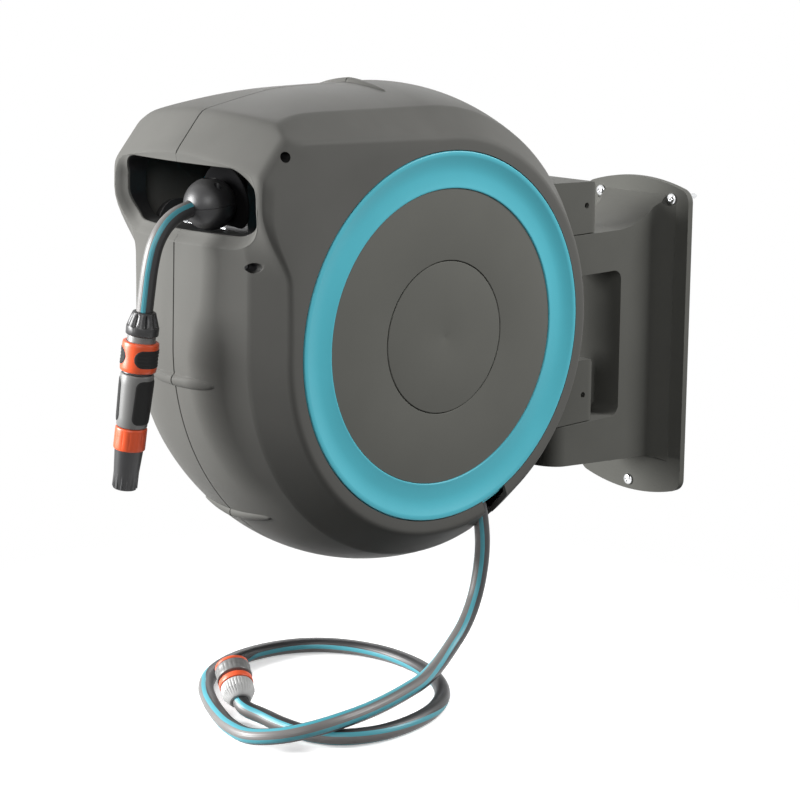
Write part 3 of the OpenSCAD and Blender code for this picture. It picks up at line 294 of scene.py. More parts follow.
LEAD_FACING = (0.0, -0.9, 0.45)
SUPPLY_FACING = [(0, (0.0, -0.98, 0.16)), (7, (0.0, -0.98, 0.16)), (12, (0.67, -0.6, 0.52)),
                 (17, (0.67, -0.6, 0.52)), (18, (0.1, -0.91, 0.39)), (19, (-0.2, -0.95, 0.23)),
                 (20, (-0.36, -0.91, 0.14)), (21, (-0.46, -0.87, 0.16)), (22, (-0.55, -0.68, 0.47)),
                 (23, (-0.82, -0.52, 0.0)), (24, (-0.5, -0.1, -0.86)), (25, (0.65, -0.2, -0.72)),
                 (26, (0.55, -0.49, -0.66)), (31, (0.55, -0.49, -0.66)), (37, (0.73, -0.66, -0.11)),
                 (41, (0.73, -0.66, -0.11)), (43, (0.55, -0.49, -0.66))]
SUPPLY_STEP, LEAD_STEP = 5, 4


def facing_along(points, keys, count):
    """Directions for count even steps along a route, drawn out between those at the keyed points."""
    far = distances(np.asarray(points, float))
    at, way = [far[i] / far[-1] for i, _ in keys], np.array([v for _, v in keys])
    return np.stack([np.interp(np.linspace(0, 1, count), at, way[:, k]) for k in range(3)], -1)


supply_path = path_through(SUPPLY, SUPPLY_STEP)
lead_path = path_through(np.array(LEAD) + [CARRIAGE_X, 0, 0], LEAD_STEP)
supply_facing = facing_along(SUPPLY, SUPPLY_FACING, len(supply_path))
supply_hose, supply_length = hose("supply_hose_skin", supply_path, "reel", ["supply_hose"], supply_facing)
hose_lead, lead_length = hose("hose_lead_skin", lead_path, "carriage", ["hose_lead"], LEAD_FACING)
print("supply hose", round(supply_length, 3), "m, outlet hose", round(lead_length, 3), "m")

# %% [markdown]
# On the drum the hose lies in turns: the outer layer is one helix, and the layer under it shows only
# as a row of rounded backs between the turns.

# %% Wound hose
WIND_R, PITCH, TURNS, TURN_STEPS = 152.0, 16.8, 8, 72
DRUM_HALF_W, END_GAP, LAYER_R, CORE_R = 77.0, 0.4, 134.0, 80.5


def helix(turns, steps):
    """Points of the outer layer: the drum turns once while the hose moves on by one pitch."""
    a = np.linspace(0, 2 * np.pi * turns, turns * steps + 1)
    x = PITCH * (a / (2 * np.pi) - turns / 2)
    return joined(x, WIND_R * np.cos(a), WIND_R * np.sin(a))


coil = helix(TURNS, TURN_STEPS)
lead_in = unit(coil[1] - coil[0]) * 2 * HOSE_R
lead_out = unit(coil[-1] - coil[-2]) * 2 * HOSE_R
coil = np.vstack([coil[0] - lead_in, coil, coil[-1] + lead_out])
hose("wound_hose_skin", coil, "drum", ["wound_hose"], coil * [0, 1, 1], sides=14)
layer_x = np.linspace(-DRUM_HALF_W + END_GAP, DRUM_HALF_W - END_GAP, 145)
back = 1 - (np.mod(layer_x + DRUM_HALF_W, PITCH) / (PITCH / 2) - 1) ** 2
layer_r = LAYER_R + HOSE_R * np.sqrt(np.maximum(0, back))
layer = np.vstack([joined(layer_r, layer_x), [[CORE_R, layer_x[-1]], [CORE_R, layer_x[0]]]])
turned("inner_hose_layers", layer, 96, along_x(1), "drum", "hose_rubber", ["wound_hose_core"], sharp=50)
wound_length = TURNS * 2 * math.pi * WIND_R * MM
print("wound hose:", TURNS, "turns, about", round(wound_length, 2), "m in the outer layer")

# %% [markdown]
# ## Casing
# The casing is a crowned drum with a snout. Its radius round the drum axis is a formula of the angle
# and of the distance from the seam. The snout is four planes: brow, visor, front face and roof. The
# nearest plane wins in each direction, and a high power mean rounds the corners between them.

# %% Casing formula
HALF_W, BAND_W, SEAM_R, BAND_R, BORDER_R, BACK_FLAT = 122.0, 90.0, 248.0, 228.0, 200.0, 208.0
OPEN_R, WALL, SIDE_ROUND = 187.0, 4.4, 4.0
ROOF_ANGLE, ROOF_TWIST, ROOF_FADE = 90.5, 2.5, 8.0
PLANES = ((265.5, 100.8, 15.0, 12.0), (307.0, 139.4, 19.0, 12.0), (248.0, 177.5, 11.0, 10.0))
FACE_ANGLE, FADE_FROM, FADE_TO = 177.5, 147.0, 159.0
CORNER_POWER = 160
FLAT_REACH, FLAT_LIMIT = 60, 66


def drum_radius(x):
    """Radius of the plain drum: a parabola over the band, then a straight slope to the side face."""
    band = SEAM_R - (SEAM_R - BAND_R) * (x / BAND_W) ** 2
    edge = BAND_R - (BAND_R - BORDER_R) * (x - BAND_W) / (HALF_W - BAND_W)
    return np.where(x <= BAND_W, band, edge)


def snout_radius(t, x):
    """Radius of the snout: the power mean of the radii at which the direction t meets each plane."""
    turn = ROOF_ANGLE - ROOF_TWIST * (x / HALF_W) ** 2
    total = (np.maximum(0, np.cos(np.radians(t - turn))) * SEAM_R / drum_radius(x)) ** CORNER_POWER
    for reach, angle, crown, rounding in PLANES:
        u = np.clip(x - HALF_W + rounding, 0, rounding)
        drop = rounding - np.sqrt(np.maximum(0, rounding**2 - u**2))
        dist = reach - crown * (x / HALF_W) ** 2 - drop
        total = total + (np.maximum(0, np.cos(np.radians(t - angle))) * SEAM_R / dist) ** CORNER_POWER
    return SEAM_R * np.maximum(total, 1e-200) ** (-1 / CORNER_POWER)


def casing_radius(t, x):
    """Radius of the casing at angle t, in degrees, and distance x from the seam, in mm."""
    t, x = np.broadcast_arrays(np.asarray(t, float), np.abs(np.asarray(x, float)))
    middle = snout_radius(t, 0 * x)
    inside = (t > ROOF_ANGLE) & (t < FACE_ANGLE)
    share = smooth(ROOF_ANGLE, ROOF_ANGLE + ROOF_FADE, t) * (1 - smooth(FADE_FROM, FADE_TO, t))
    fall = (1 - share) * (SEAM_R - drum_radius(x)) + share * (middle - snout_radius(t, x))
    radius = np.where(inside, middle - fall, drum_radius(x))
    off = np.abs(t - 360)
    flat = BACK_FLAT / np.cos(np.radians(np.minimum(off, FLAT_LIMIT)))
    return np.where(off < FLAT_REACH, np.minimum(radius, flat), radius)


# %% [markdown]
# Three low lens-shaped humps lie across the seam. In the photograph they lift the seam line towards the
# viewer and stand up from the roof's outline. They are added to the same radius formula, and the fine
# groove where the two halves meet is taken away from it.

# %% Casing surface
HUMPS = (95.1, 185.95, 223.9)
HUMP_HALF_L, HUMP_HALF_W, HUMP_RISE, HUMP_FALL = 52.0, 5.8, 4.6, 0.7
GROOVE_W, GROOVE_D, SEAM_GAP = 0.9, 1.1, 0.15


def hump_rise(t, x, radius):
    """Height of the humps: a round back across, falling along its length to blunt ends.

    The half width follows the root of 1 - u^4 and the height 1 - fall u, where u is the share of the
    half length."""
    rise = np.zeros(np.broadcast(t, x).shape)
    share = np.minimum(1, x / HUMP_HALF_L)
    half = HUMP_HALF_W * np.sqrt(np.maximum(1e-6, 1 - share**4))
    for angle in HUMPS:
        across = radius * np.radians(t - angle) / half
        back = np.maximum(0, 1 - across**2) ** 0.6 * (x < HUMP_HALF_L)
        rise = np.maximum(rise, HUMP_RISE * (1 - HUMP_FALL * share) * back)
    return rise


def casing_angles():
    """Angles from 90 degrees once round, closer together at the corners and the humps."""
    parts = [np.arange(90, 450, 1.5), np.arange(90, 104, 0.5), np.arange(126, 147, 0.25)]
    parts += [np.arange(angle - 1.7, angle + 1.71, 0.1) for angle in HUMPS]
    angles = np.unique(np.round(np.concatenate(parts), 3))
    return angles[np.concatenate([[True], np.diff(angles) > 0.06])]


def casing_half(word, side):
    """One half of the casing as a closed skin: outside, side border, rim and inside."""
    t = casing_angles()[None, :]
    slope_x = BAND_W + (HALF_W - SIDE_ROUND - BAND_W) * np.sin(np.linspace(0, np.pi / 2, 15))
    out_x = np.concatenate([[GROOVE_W], np.arange(1.5, BAND_W, 1.5), slope_x])[:, None]
    radius = casing_radius(t, out_x)
    radius = radius + hump_rise(t, out_x, radius)
    rows = [joined(SEAM_GAP, radius[:1] - GROOVE_D), joined(out_x, radius)]
    edge = casing_radius(t, HALF_W)
    s = np.linspace(0.2, 1, 5)[:, None]
    bend_x = (1 - s) ** 2 * (HALF_W - SIDE_ROUND) + 2 * s * (1 - s) * HALF_W + s**2 * HALF_W
    bend_r = (1 - s) ** 2 * radius[-1] + 2 * s * (1 - s) * edge + s**2 * (edge - SIDE_ROUND)
    rows.append(joined(bend_x, bend_r))
    for share in (0.5, 1.0):
        rows.append(joined(HALF_W, (1 - share) * (edge - SIDE_ROUND) + share * OPEN_R))
    rows.append(joined(HALF_W - WALL, OPEN_R + 0 * t))
    in_x = [np.linspace(HALF_W - WALL, BAND_W, 6), np.linspace(BAND_W, SEAM_GAP, 12)[1:]]
    in_x = np.concatenate(in_x)[:, None]
    rows.append(joined(in_x, casing_radius(t, in_x * HALF_W / (HALF_W - WALL)) - WALL))
    grid = np.concatenate([r.reshape(-1, t.size, 2) for r in rows])
    a = np.radians(t)
    points = joined(side * grid[..., 0], grid[..., 1] * np.cos(a), grid[..., 1] * np.sin(a))
    verts, faces = weld(at_reel(points.reshape(-1, 3)), grid_faces(len(grid), t.size, True, True))
    skin = new_object(f"casing_{word}_skin", verts, faces)
    return dress(skin, "reel", "casing_plastic", [f"casing_{word}"])


def carve(obj, cutters):
    """Cuts the closed cutters out of a piece and takes them away again."""
    for cutter in cutters:
        cut = obj.modifiers.new("cut", "BOOLEAN")
        cut.operation, cut.solver, cut.object = "DIFFERENCE", "EXACT", cutter
    result = bpy.data.meshes.new_from_object(obj.evaluated_get(bpy.context.evaluated_depsgraph_get()))
    obj.modifiers.clear()
    obj.data = result
    for cutter in cutters:
        bpy.data.objects.remove(cutter)
    tidy_normals(result, SHARP)


SIDES = (("right", 1), ("left", -1))
casing = {side: casing_half(word, side) for word, side in SIDES}
print("casing faces:", [len(c.data.polygons) for c in casing.values()])

# %% [markdown]
# ## Outlet window
# A bevelled frame lines the window. Its outer edge lies on the front face; from there it slopes inward
# to the opening and turns back into the casing. At the top the frame ends at the edge of the visor.

# %% Window outline
WINDOW_W, WINDOW_H, WINDOW_Z, WINDOW_CORNER, WINDOW_STEPS = 102.5, 32.5, 151.5, 28.0, 26
BEVEL_SIDE, BEVEL_LOW, BEVEL_TOP = 10.5, 11.0, 8.0
BEVEL_DEPTH, RETURN_DEPTH = 8.0, 17.0
FACE_ANGLES, VISOR_ANGLES = (141.4, 200.0), (136, 146)


def window_half(count):
    """Half of the opening's outline from the top middle to the bottom middle, with its outward normals."""
    a = np.linspace(np.pi / 2, -np.pi / 2, count)
    centre_x, centre_z = WINDOW_W - WINDOW_CORNER, WINDOW_H - WINDOW_CORNER
    arc = joined(np.cos(a), np.sin(a))
    curve_z = WINDOW_Z + np.where(a > 0, centre_z, -centre_z) + WINDOW_CORNER * arc[:, 1]
    curve = joined(centre_x + WINDOW_CORNER * arc[:, 0], curve_z)
    x = np.linspace(0, centre_x, WINDOW_STEPS, endpoint=False)
    top = joined(x, WINDOW_Z + WINDOW_H)
    low = joined(x[::-1], WINDOW_Z - WINDOW_H)
    flat = np.tile([0.0, 1.0], (WINDOW_STEPS, 1))
    return np.vstack([top, curve, low]), np.vstack([flat, arc, -flat])


def face_y(x, z):
    """Place along Y of the front surface at (x, z), by halving the angle's range where r sin t = z."""
    low, high = (np.full(np.shape(x), angle) for angle in FACE_ANGLES)
    for _ in range(40):
        mid = (low + high) / 2
        above = casing_radius(mid, x) * np.sin(np.radians(mid)) > z
        low, high = np.where(above, mid, low), np.where(above, high, mid)
    return casing_radius(low, x) * np.cos(np.radians(low))


def visor_edge(x):
    """Height of the edge between visor and front face, where their two planes meet."""
    t = np.linspace(*VISOR_ANGLES, 401)[None, :]
    radius = casing_radius(t, np.asarray(x)[:, None])
    height, depth = radius * np.sin(np.radians(t)), radius * np.cos(np.radians(t))
    slope = np.gradient(height, axis=1) / np.gradient(depth, axis=1)
    bend = np.abs(np.gradient(np.arctan(slope), axis=1))
    return height[np.arange(len(height)), bend.argmax(1)]


inner, outward = window_half(41)
room_top = np.clip(visor_edge(inner[:, 0]) - inner[:, 1] - 0.4, 0.8, BEVEL_TOP)
up, low_side = np.clip(outward[:, 1], 0, 1), np.clip(-outward[:, 1], 0, 1)
bevel_w = up * room_top + low_side * BEVEL_LOW + (1 - up - low_side) * BEVEL_SIDE
bevel_w = np.where(outward[:, 1] > 0, np.minimum(bevel_w, room_top + BEVEL_SIDE * (1 - up)), bevel_w)
outer = inner + outward * bevel_w[:, None]
print("window frame: outer edge", outer.min(0).round(1), outer.max(0).round(1))

# %% Window frame and the holes in the casing
LIP, CUT_INSIDE, WINDOW_CUT = 0.35, 0.15, (-320.0, -190.0)


def half_loft(name, sections, side, slot):
    """A closed strip along half of the window: each section is a row of (x, z) places and their y."""
    grid = np.stack([joined(side * (e[:, 0] + SEAM_GAP), y, e[:, 1]) for e, y in sections])
    rows, cols = grid.shape[:2]
    faces = grid_faces(rows, cols, True, False).tolist()
    faces += [list(range(0, rows * cols, cols)), list(range(cols - 1, rows * cols, cols))]
    return dress(new_object(name, at_reel(grid.reshape(-1, 3)), faces, sharp=38), "reel", slot)


def window_frame(word, side):
    """Half of the window frame: a bevel from the face to the opening, and behind it black walls that are
    painted shade inside the opening.
    """
    y0 = face_y(outer[:, 0], outer[:, 1])
    depth = BEVEL_DEPTH * (1 - 0.9 * smooth(0.2, 0.9, outward[:, 1]))
    lip = outer + outward * LIP
    lip_y = face_y(lip[:, 0], lip[:, 1])
    bevel = [(lip, lip_y + 0.3), (lip, lip_y - 0.08), (outer, y0 - 0.08)]
    for share in (0.12, 0.5, 0.88, 1.0):
        ease = share + 0.5 * np.sin(np.pi * share) * (share - 0.5)
        bevel.append((outer + (inner - outer) * share, y0 + depth * ease))
    bevel += [(inner - outward * 0.5, y0 + depth + 0.7), (inner - outward * 0.5, y0 + depth + 2.5),
              (inner + outward * 2.4, y0 + depth + 4.0)]
    half_loft(f"window_frame_{word}", bevel, side, "casing_plastic")
    # The walls behind the bevel are black: painted shade inside the window's opening.
    back = y0.max() + BEVEL_DEPTH + RETURN_DEPTH
    painted_shade_walls = [(inner + outward * 0.3, y0 + depth + 2.6), (inner + outward * 0.3, 0 * y0 + back),
             (inner + outward * 2.4, 0 * y0 + back), (inner + outward * 2.4, y0 + depth + 4.2)]
    half_loft(f"window_painted_shade_{word}", painted_shade_walls, side, "black_plastic")


def block(name, ends):
    """A closed block between two outlines of equally many points."""
    n = len(ends[0])
    faces = grid_faces(2, n, False, True).tolist() + [list(range(n)), list(range(2 * n - 1, n - 1, -1))]
    return new_object(name, at_reel(np.vstack(ends)), faces)


def window_block():
    """The block that opens the window: the frame's outer edge, drawn in a little, along Y."""
    half = outer - outward * CUT_INSIDE
    outline = np.vstack([half, half[::-1] * [-1, 1]])
    return block("window_block", [np.insert(outline, 1, y, axis=1) for y in WINDOW_CUT])


def plug(name, radius, low, high, place):
    """A closed round rod between two heights, put in place by place()."""
    points = revolve([(0, low), (radius, low), (radius, high), (0, high)], ROUND).reshape(-1, 3)
    verts, faces = weld(place(points), grid_faces(4, ROUND, False, True))
    return new_object(name, verts, faces)


def beside(y, z):
    """Puts a turned piece with its height along X, at (y, z) from the drum axis."""
    return lambda p: at_reel(joined(p[:, 2], p[:, 0] + y, p[:, 1] + z))


SCREWS = ((-203.0, 195.0, 98.0), (-222.0, 92.0, 77.0))
WELL_R, WELL_OUT, WELL_SINK = 5.0, 7.5, 1.2
SLOT_ANGLE, SLOT_W, SLOT_X, SLOT_R = math.radians(-69), 34.0, 88.0, 182.0
OUTSIDE_X, OUTSIDE_R = 140.0, 300


def slot_block():
    """The block that opens the hose slot: a box from the slot's inner radius outwards."""
    u = np.array([0, math.cos(SLOT_ANGLE), math.sin(SLOT_ANGLE)])
    v = np.array([0, -math.sin(SLOT_ANGLE), math.cos(SLOT_ANGLE)])
    w = SLOT_W / 2
    flat = rounded([(SLOT_R, -w), (OUTSIDE_R, -w), (OUTSIDE_R, w), (SLOT_R, w)], 5)
    return block("slot_block", [np.array([x, 0, 0]) + flat[:, :1] * u + flat[:, 1:] * v
                                for x in (SLOT_X, OUTSIDE_X)])


def side_x(y, z):
    """Distance from the seam at which the casing's surface passes (y, z), by halving the range."""
    t = np.mod(np.degrees(np.arctan2(z, y)) - 90, 360) + 90
    low, high = np.zeros(np.shape(y)), np.full(np.shape(y), HALF_W)
    for _ in range(30):
        mid = (low + high) / 2
        outside = casing_radius(t, mid) < np.hypot(y, z)
        low, high = np.where(outside, low, mid), np.where(outside, mid, high)
    return low


def screw_well_painted_shade(name, y, z, seat):
    """A round black well under a screw hole, as painted shade down the hole; its top follows the inside of
    the casing's surface.
    """
    profile = np.array([(2.2, -2), (WELL_OUT, -2), (WELL_OUT, 1), (WELL_R, 1), (WELL_R, 0), (2.2, 0)])
    points = revolve(profile, ROUND)
    place = joined(points[..., 2] + seat, points[..., 0] + y, points[..., 1] + z)
    top = side_x(place[2:4, :, 1], place[2:4, :, 2]) - WELL_SINK
    place[2:4, :, 0] = np.maximum(top, seat - 1.9)
    verts, faces = weld(at_reel(place.reshape(-1, 3)), grid_faces(len(profile), ROUND, True, True))
    # Black as painted shade down the screw hole.
    dress(new_object(name, verts, faces), "reel", "black_plastic")


for word, side in SIDES:
    window_frame(word, side)
    cutters = [window_block()]
    if side > 0:
        cutters += [plug("screw_block", WELL_R, seat, OUTSIDE_X, beside(y, z)) for y, z, seat in SCREWS]
        cutters.append(slot_block())
    carve(casing[side], cutters)
for i, (y, z, seat) in enumerate(SCREWS):
    screw_well_painted_shade(f"screw_well_painted_shade_{i + 1}", y, z, seat)
print("casing faces after cutting:", [len(c.data.polygons) for c in casing.values()])

# %% [markdown]
# ## Side ring, cover and hub cap
# These are turned on the drum axis. The ring has a fine outer rim and a dished band inside it. A fine
# groove parts the hub cap from the cover; the cap is left plain, with no lettering.

# %% Sides
RING_TOP, RING_R, RING_IN = 122.8, 186.0, 149.0
RIM_W, RING_DISH, VALLEY_R, INNER_RISE = 4.0, 4.5, 163.8, 0.25


def ring_profile():
    """Outline of the side ring: a fine rim, and a dish whose valley lies nearer to the inner edge.

    The dish falls as a quarter of a sine to the valley and rises from there as a square."""
    r = np.linspace(RING_R - RIM_W, RING_IN + 0.6, 25)
    down = (RING_R - RIM_W - r) / (RING_R - RIM_W - VALLEY_R)
    back = (VALLEY_R - r) / (VALLEY_R - RING_IN)
    fall = np.where(r > VALLEY_R, np.sin(np.pi / 2 * down), 1 - INNER_RISE * back**2)
    dish = joined(r, RING_TOP - RING_DISH * fall)
    rim = rounded([(RING_R, 117.7), (RING_R, RING_TOP), (RING_R - RIM_W, RING_TOP)], 1.2, 5)[5:10]
    inner = RING_TOP - RING_DISH * (1 - INNER_RISE)
    low = [(RING_IN, inner - 0.6), (RING_IN, 114.2), (RING_IN - 6, 114.2), (RING_IN - 6, 111.2),
           (RING_R - 5, 111.2), (RING_R + 5, 114.7), (RING_R + 5, 117.6), (RING_R, 117.7)]
    return np.vstack([rim, dish, low])


COVER_TOP, COVER_R, CAP_R = 118.1, 148.7, 77.0
cover = rounded([(0.01, 108.0), (24, 108.0), (24, 114.1), (COVER_R, 114.1), (COVER_R, COVER_TOP),
                 (CAP_R + 0.8, COVER_TOP), (CAP_R + 0.8, COVER_TOP - 2.4), (0.01, COVER_TOP - 2.4)], 0.5)
cap = rounded([(0.01, COVER_TOP - 2.3), (CAP_R - 0.4, COVER_TOP - 2.3), (CAP_R - 0.4, COVER_TOP + 0.1),
               (0.01, COVER_TOP + 0.1)], 0.5)
for word, side in SIDES:
    turned(f"ring_{word}_skin", ring_profile(), 192, along_x(side), "reel", "teal_plastic",
           [f"side_ring_{word}"], sharp=50)
    turned(f"cover_{word}_skin", cover, 144, along_x(side), "reel", "cover_plastic", [f"side_cover_{word}"])
    turned(f"cap_{word}_skin", cap, 120, along_x(side), "reel", "cover_plastic", [f"hub_cap_{word}"])
print("sides made")

# %% [markdown]
# ## Bracket, knuckles and stop ball
# These keep the CAD shape. A copy of each is cleaned of its triangles, its edges are rounded by a
# bevel, and its normals are weighted by area so that flat faces stay flat. A dark guide disc stands
# behind the ball; it is cut away below, where the belt's small pulley passes it.

# %% Copies of CAD shapes with rounded edges
EDGE_ANGLE, EDGE_SEGMENTS = 32, 3


def softened(node, body, slot, width):
    """A copy of a CAD node with its edges rounded to width mm where they turn by a clear angle."""
    name = f"{node}_skin"
    work = bmesh.new()
    work.from_mesh(frame["nodes"][node].data)
    bmesh.ops.remove_doubles(work, verts=work.verts, dist=2e-5)
    bmesh.ops.dissolve_limit(work, angle_limit=math.radians(1.0), verts=work.verts, edges=work.edges)
    mesh = bpy.data.meshes.new(name)
    work.to_mesh(mesh)
    work.free()
    obj = bpy.data.objects.new(name, mesh)
    scene.collection.objects.link(obj)
    tidy_normals(mesh, EDGE_ANGLE)
    bevel = obj.modifiers.new("edges", "BEVEL")
    bevel.width, bevel.segments, bevel.limit_method = width * MM, EDGE_SEGMENTS, "ANGLE"
    bevel.angle_limit = math.radians(EDGE_ANGLE)
    weight = obj.modifiers.new("normals", "WEIGHTED_NORMAL")
    weight.keep_sharp = False
    return dress(obj, body, slot, [node])


softened("wall_bracket", "wall_bracket", "bracket_plastic", 3.5)
softened("upper_knuckle", "reel", "bracket_plastic", 3.0)
softened("lower_knuckle", "reel", "bracket_plastic", 3.0)
ball_top = softened("stop_ball_upper", "carriage", "black_plastic", 0.7)
softened("stop_ball_lower", "carriage", "black_plastic", 0.7)
softened("hose_guide", "carriage", "black_plastic", 1.5)
BALL_AT, HOSE_IN = np.array([CARRIAGE_X, -222.0, 145.0]), np.array([0.0, 0.9936, 0.1132])
HOLE_R, HOLE_LOW, HOLE_HIGH, UPWARDS = 6.0, 20.0, 30.0, np.array([0.0, 0.0, 1.0])
carve(ball_top, [plug("ball_block", HOLE_R, HOLE_LOW, HOLE_HIGH, along_axis(BALL_AT, UPWARDS))])
disc = [(13.6, 20), (20, 18.6), (31, 17.6), (33.6, 17.8), (34.8, 18.6), (34.8, 20), (33.6, 20.8),
        (20, 21), (13.6, 23)]
guide = turned("guide_funnel", disc, 96, along_axis(BALL_AT, HOSE_IN), "carriage", "drum_plastic", sharp=60)
PULLEY_ROOM_R, SCREW_Y, SCREW_Z, PAST_DISC = 25.5, -178.0, 112.0, 60.0
carve(guide, [plug("pulley_room", PULLEY_ROOM_R, CARRIAGE_X - PAST_DISC, CARRIAGE_X + PAST_DISC,
                   beside(SCREW_Y, SCREW_Z))])
print("softened copies made")

# %% Wall screws
HEAD_R, HEAD_H, DRIVE_R, DOME_AT, PLATE_T = 6.5, 4.0, 2.7, 1.2, 8.0
WALL_SCREWS = ((-54.5, 167.0), (54.5, 167.0), (0.0, -177.0))


def drive_wave(angle, radius, height):
    """A six-lobed recess: the radius of its wall swings six times round, by a seventh of it."""
    wall = (radius < DRIVE_R + 0.1) & (radius > 0.5)
    return np.where(wall, 0.14 * radius * np.cos(6 * angle), 0.0)


shank = [(0.01, -43), (1.2, -43), (3, -39), (3, -8), (4, -7.9), (4, 0), (HEAD_R - 0.3, 0)]
dome = [(HEAD_R * math.sin(a), DOME_AT + (HEAD_H - DOME_AT) * math.cos(a))
        for a in np.linspace(math.pi / 2, 0.42, 9)]
recess = [(DRIVE_R, HEAD_H - 0.5), (DRIVE_R, 1.6), (DRIVE_R * 0.5, 1.2), (0.01, 1.2)]
points = revolve(shank + dome + recess, ROUND, drive_wave)
screw_faces = grid_faces(*points.shape[:2], True, True)
points = points.reshape(-1, 3)
screw = joined(points[:, 0], -points[:, 2], points[:, 1])
verts = np.vstack([np.array([x, -PLATE_T, z]) + screw for x, z in WALL_SCREWS]) * MM
faces = np.vstack([screw_faces + i * len(screw) for i in range(len(WALL_SCREWS))])
dress(new_object("wall_screw_set", *weld(verts, faces)), "wall_bracket", "chrome_screw", ["wall_screws"])
print("wall screws:", len(WALL_SCREWS))

# %% [markdown]
# ## Outlet connector and nozzle
# They hang from the clamp nut along one leaning axis. Each ring, pad and rib is its own surface:
# turned profiles carry ribs as a wave of the radius, and the grip pads are wide domes on two sides.

# %% Nozzle
NUT_TOP = np.array([20.0, -293.5, 50.0])
DOWN = np.array([-0.10405, -0.09585, -0.98994])
PAD_TURN, PAD_ROOT, RIB_DEPTH, RIB_FADE = math.radians(-22), -0.6, 0.4, 1.2
hang = along_axis(NUT_TOP, DOWN)


def waves(count, depth, start, end, sharpness):
    """Ribs round a turned piece: depth times a rounded cosine, only between two heights."""
    def wave(angle, radius, height):
        shape = np.abs(np.cos(count / 2 * angle)) ** sharpness - 1
        rise, fall = smooth(start, start + RIB_FADE, height), smooth(end - RIB_FADE, end, height)
        return depth * shape * rise * (1 - fall)
    return wave


def oblong(half_l, half_w, corner, count):
    """Points round an oblong with round corners, by drawing the box's outline in to its corner arcs."""
    a = np.linspace(0, 2 * np.pi, count, endpoint=False)
    way = joined(np.cos(a), np.sin(a))
    half = np.array([half_l, half_w])
    box = half * way / np.abs(way).max(1, keepdims=True)
    core = np.clip(box, corner - half, half - corner)
    return core + corner * unit(box - core)


def pads(name, size, centre, radius_at, rise, body, nodes, ribs=0):
    """Two pads on opposite sides of a turned body: a dome over an oblong, with ribs round the body."""
    edge = oblong(*size, 144)
    rho = np.concatenate([np.linspace(0, 0.84, 32), [0.88, 0.92, 0.95, 0.975, 0.99, 1.0, 1.0]])[:, None]
    height = centre + rho * edge[:, 0]
    lift = rise * np.sqrt(np.maximum(0, 1 - rho**10)) + 0 * height
    if ribs:
        swing = 0.5 + 0.5 * np.cos(np.pi * ribs * (height - centre) / size[0])
        lift -= RIB_DEPTH * smooth(0.86, 0.78, rho) * swing
    lift[-1] = PAD_ROOT
    radius = radius_at(height) + lift
    verts, faces = [], []
    for side in (0, np.pi):
        angle = rho * edge[:, 1] / radius_at(height) + PAD_TURN + side
        points = joined(radius * np.cos(angle), radius * np.sin(angle), height).reshape(-1, 3)
        faces.append(grid_faces(len(rho), len(edge), False, True) + len(verts) * len(points))
        verts.append(points)
    verts, faces = weld(hang(np.vstack(verts)), np.vstack(faces))
    dress(new_object(name, verts, faces, sharp=60), body, "seal_rubber", nodes)


def hung(name, profile, count, body, slot, nodes=(), wave=None, sharp=SHARP):
    """A turned piece on the leaning axis that hangs from the outlet hose."""
    turned(name, profile, count, hang, body, slot, nodes, wave, sharp)


nut = [(8.3, 0), (10.2, 0), (10.9, 0.5), (11.3, 1.4), (12, 3.4), (13, 6.4), (14.2, 10.2),
       (15.1, 13.2), (15.4, 13.8), (15.5, 14.4), (15.5, 21.2), (15.2, 21.8), (14.8, 22), (11.8, 22),
       (11.8, 14), (8.3, 14)]
hung("outlet_nut_skin", nut, 144, "carriage", "black_plastic", ["outlet_nut"],
     waves(8, 2.6, 2.4, 14.2, 0.6), 42)
core = rounded([(5.5, 14.9), (11.4, 14.9), (11.4, 22.6), (13.4, 22.6), (13.4, 58.6), (5.5, 58.6)], 0.4, 3)
hung("outlet_connector_skin", core, 96, "carriage", "grey_plastic", ["outlet_connector"])
neck = rounded([(13.45, 57.3), (14.6, 57.3), (15, 58.6), (14.6, 59.5), (13.45, 59.5)], 0.4, 3)
hung("outlet_neck_ring", neck, 96, "carriage", "black_plastic")
SLEEVE_AT, SLEEVE_L = 28.6, 28.5
sleeve_h = np.array([0, 0.4, 1.2, 4, 9, 14.25, 19.5, 24.5, 27.3, 28.1, 28.5])
sleeve_r = np.array([16.2, 16.8, 17.2, 17.4, 17.2, 17, 17.2, 17.4, 17.2, 16.8, 16.2])
sleeve = np.vstack([joined(sleeve_r, SLEEVE_AT + sleeve_h),
                    [(13.7, SLEEVE_AT + SLEEVE_L), (13.7, SLEEVE_AT)]])
hung("outlet_sleeve_skin", sleeve, 120, "outlet_sleeve", "orange_plastic", ["outlet_sleeve"])
pads("sleeve_pads", (8.5, 21.9, 8.4), SLEEVE_AT + SLEEVE_L / 2,
     lambda h: np.interp(h - SLEEVE_AT, sleeve_h, sleeve_r), 0.7, "outlet_sleeve", ["sleeve_grips"], ribs=5)
BODY_AT, BODY_L = 59.6, 52.0
body_h = np.array([0, 0.5, 1.5, 10, 26, 42, 50.4, 51.5, 52])
body_r = np.array([15, 15.6, 15.95, 15.8, 15.4, 15, 14.75, 14.4, 13.8])
nozzle_body = np.vstack([joined(body_r, BODY_AT + body_h),
                         [(9.0, BODY_AT + BODY_L), (9.0, 133.6), (5.5, 133.6), (5.5, BODY_AT)]])
hung("nozzle_body_skin", nozzle_body, 96, "carriage", "grey_plastic", ["nozzle_body"])
pads("nozzle_pads", (21.5, 16.1, 7.0), BODY_AT + BODY_L / 2,
     lambda h: np.interp(h - BODY_AT, body_h, body_r), 0.9, "carriage", ["nozzle_inlays"])
RING_AT = 112.1
setting = [(9.3, 0), (13.6, 0), (14.6, 0.3), (15.1, 1), (15.2, 2), (15.2, 7), (15.2, 14),
           (15.2, 20), (15.1, 21), (14.6, 21.7), (13.6, 22), (9.3, 22)]
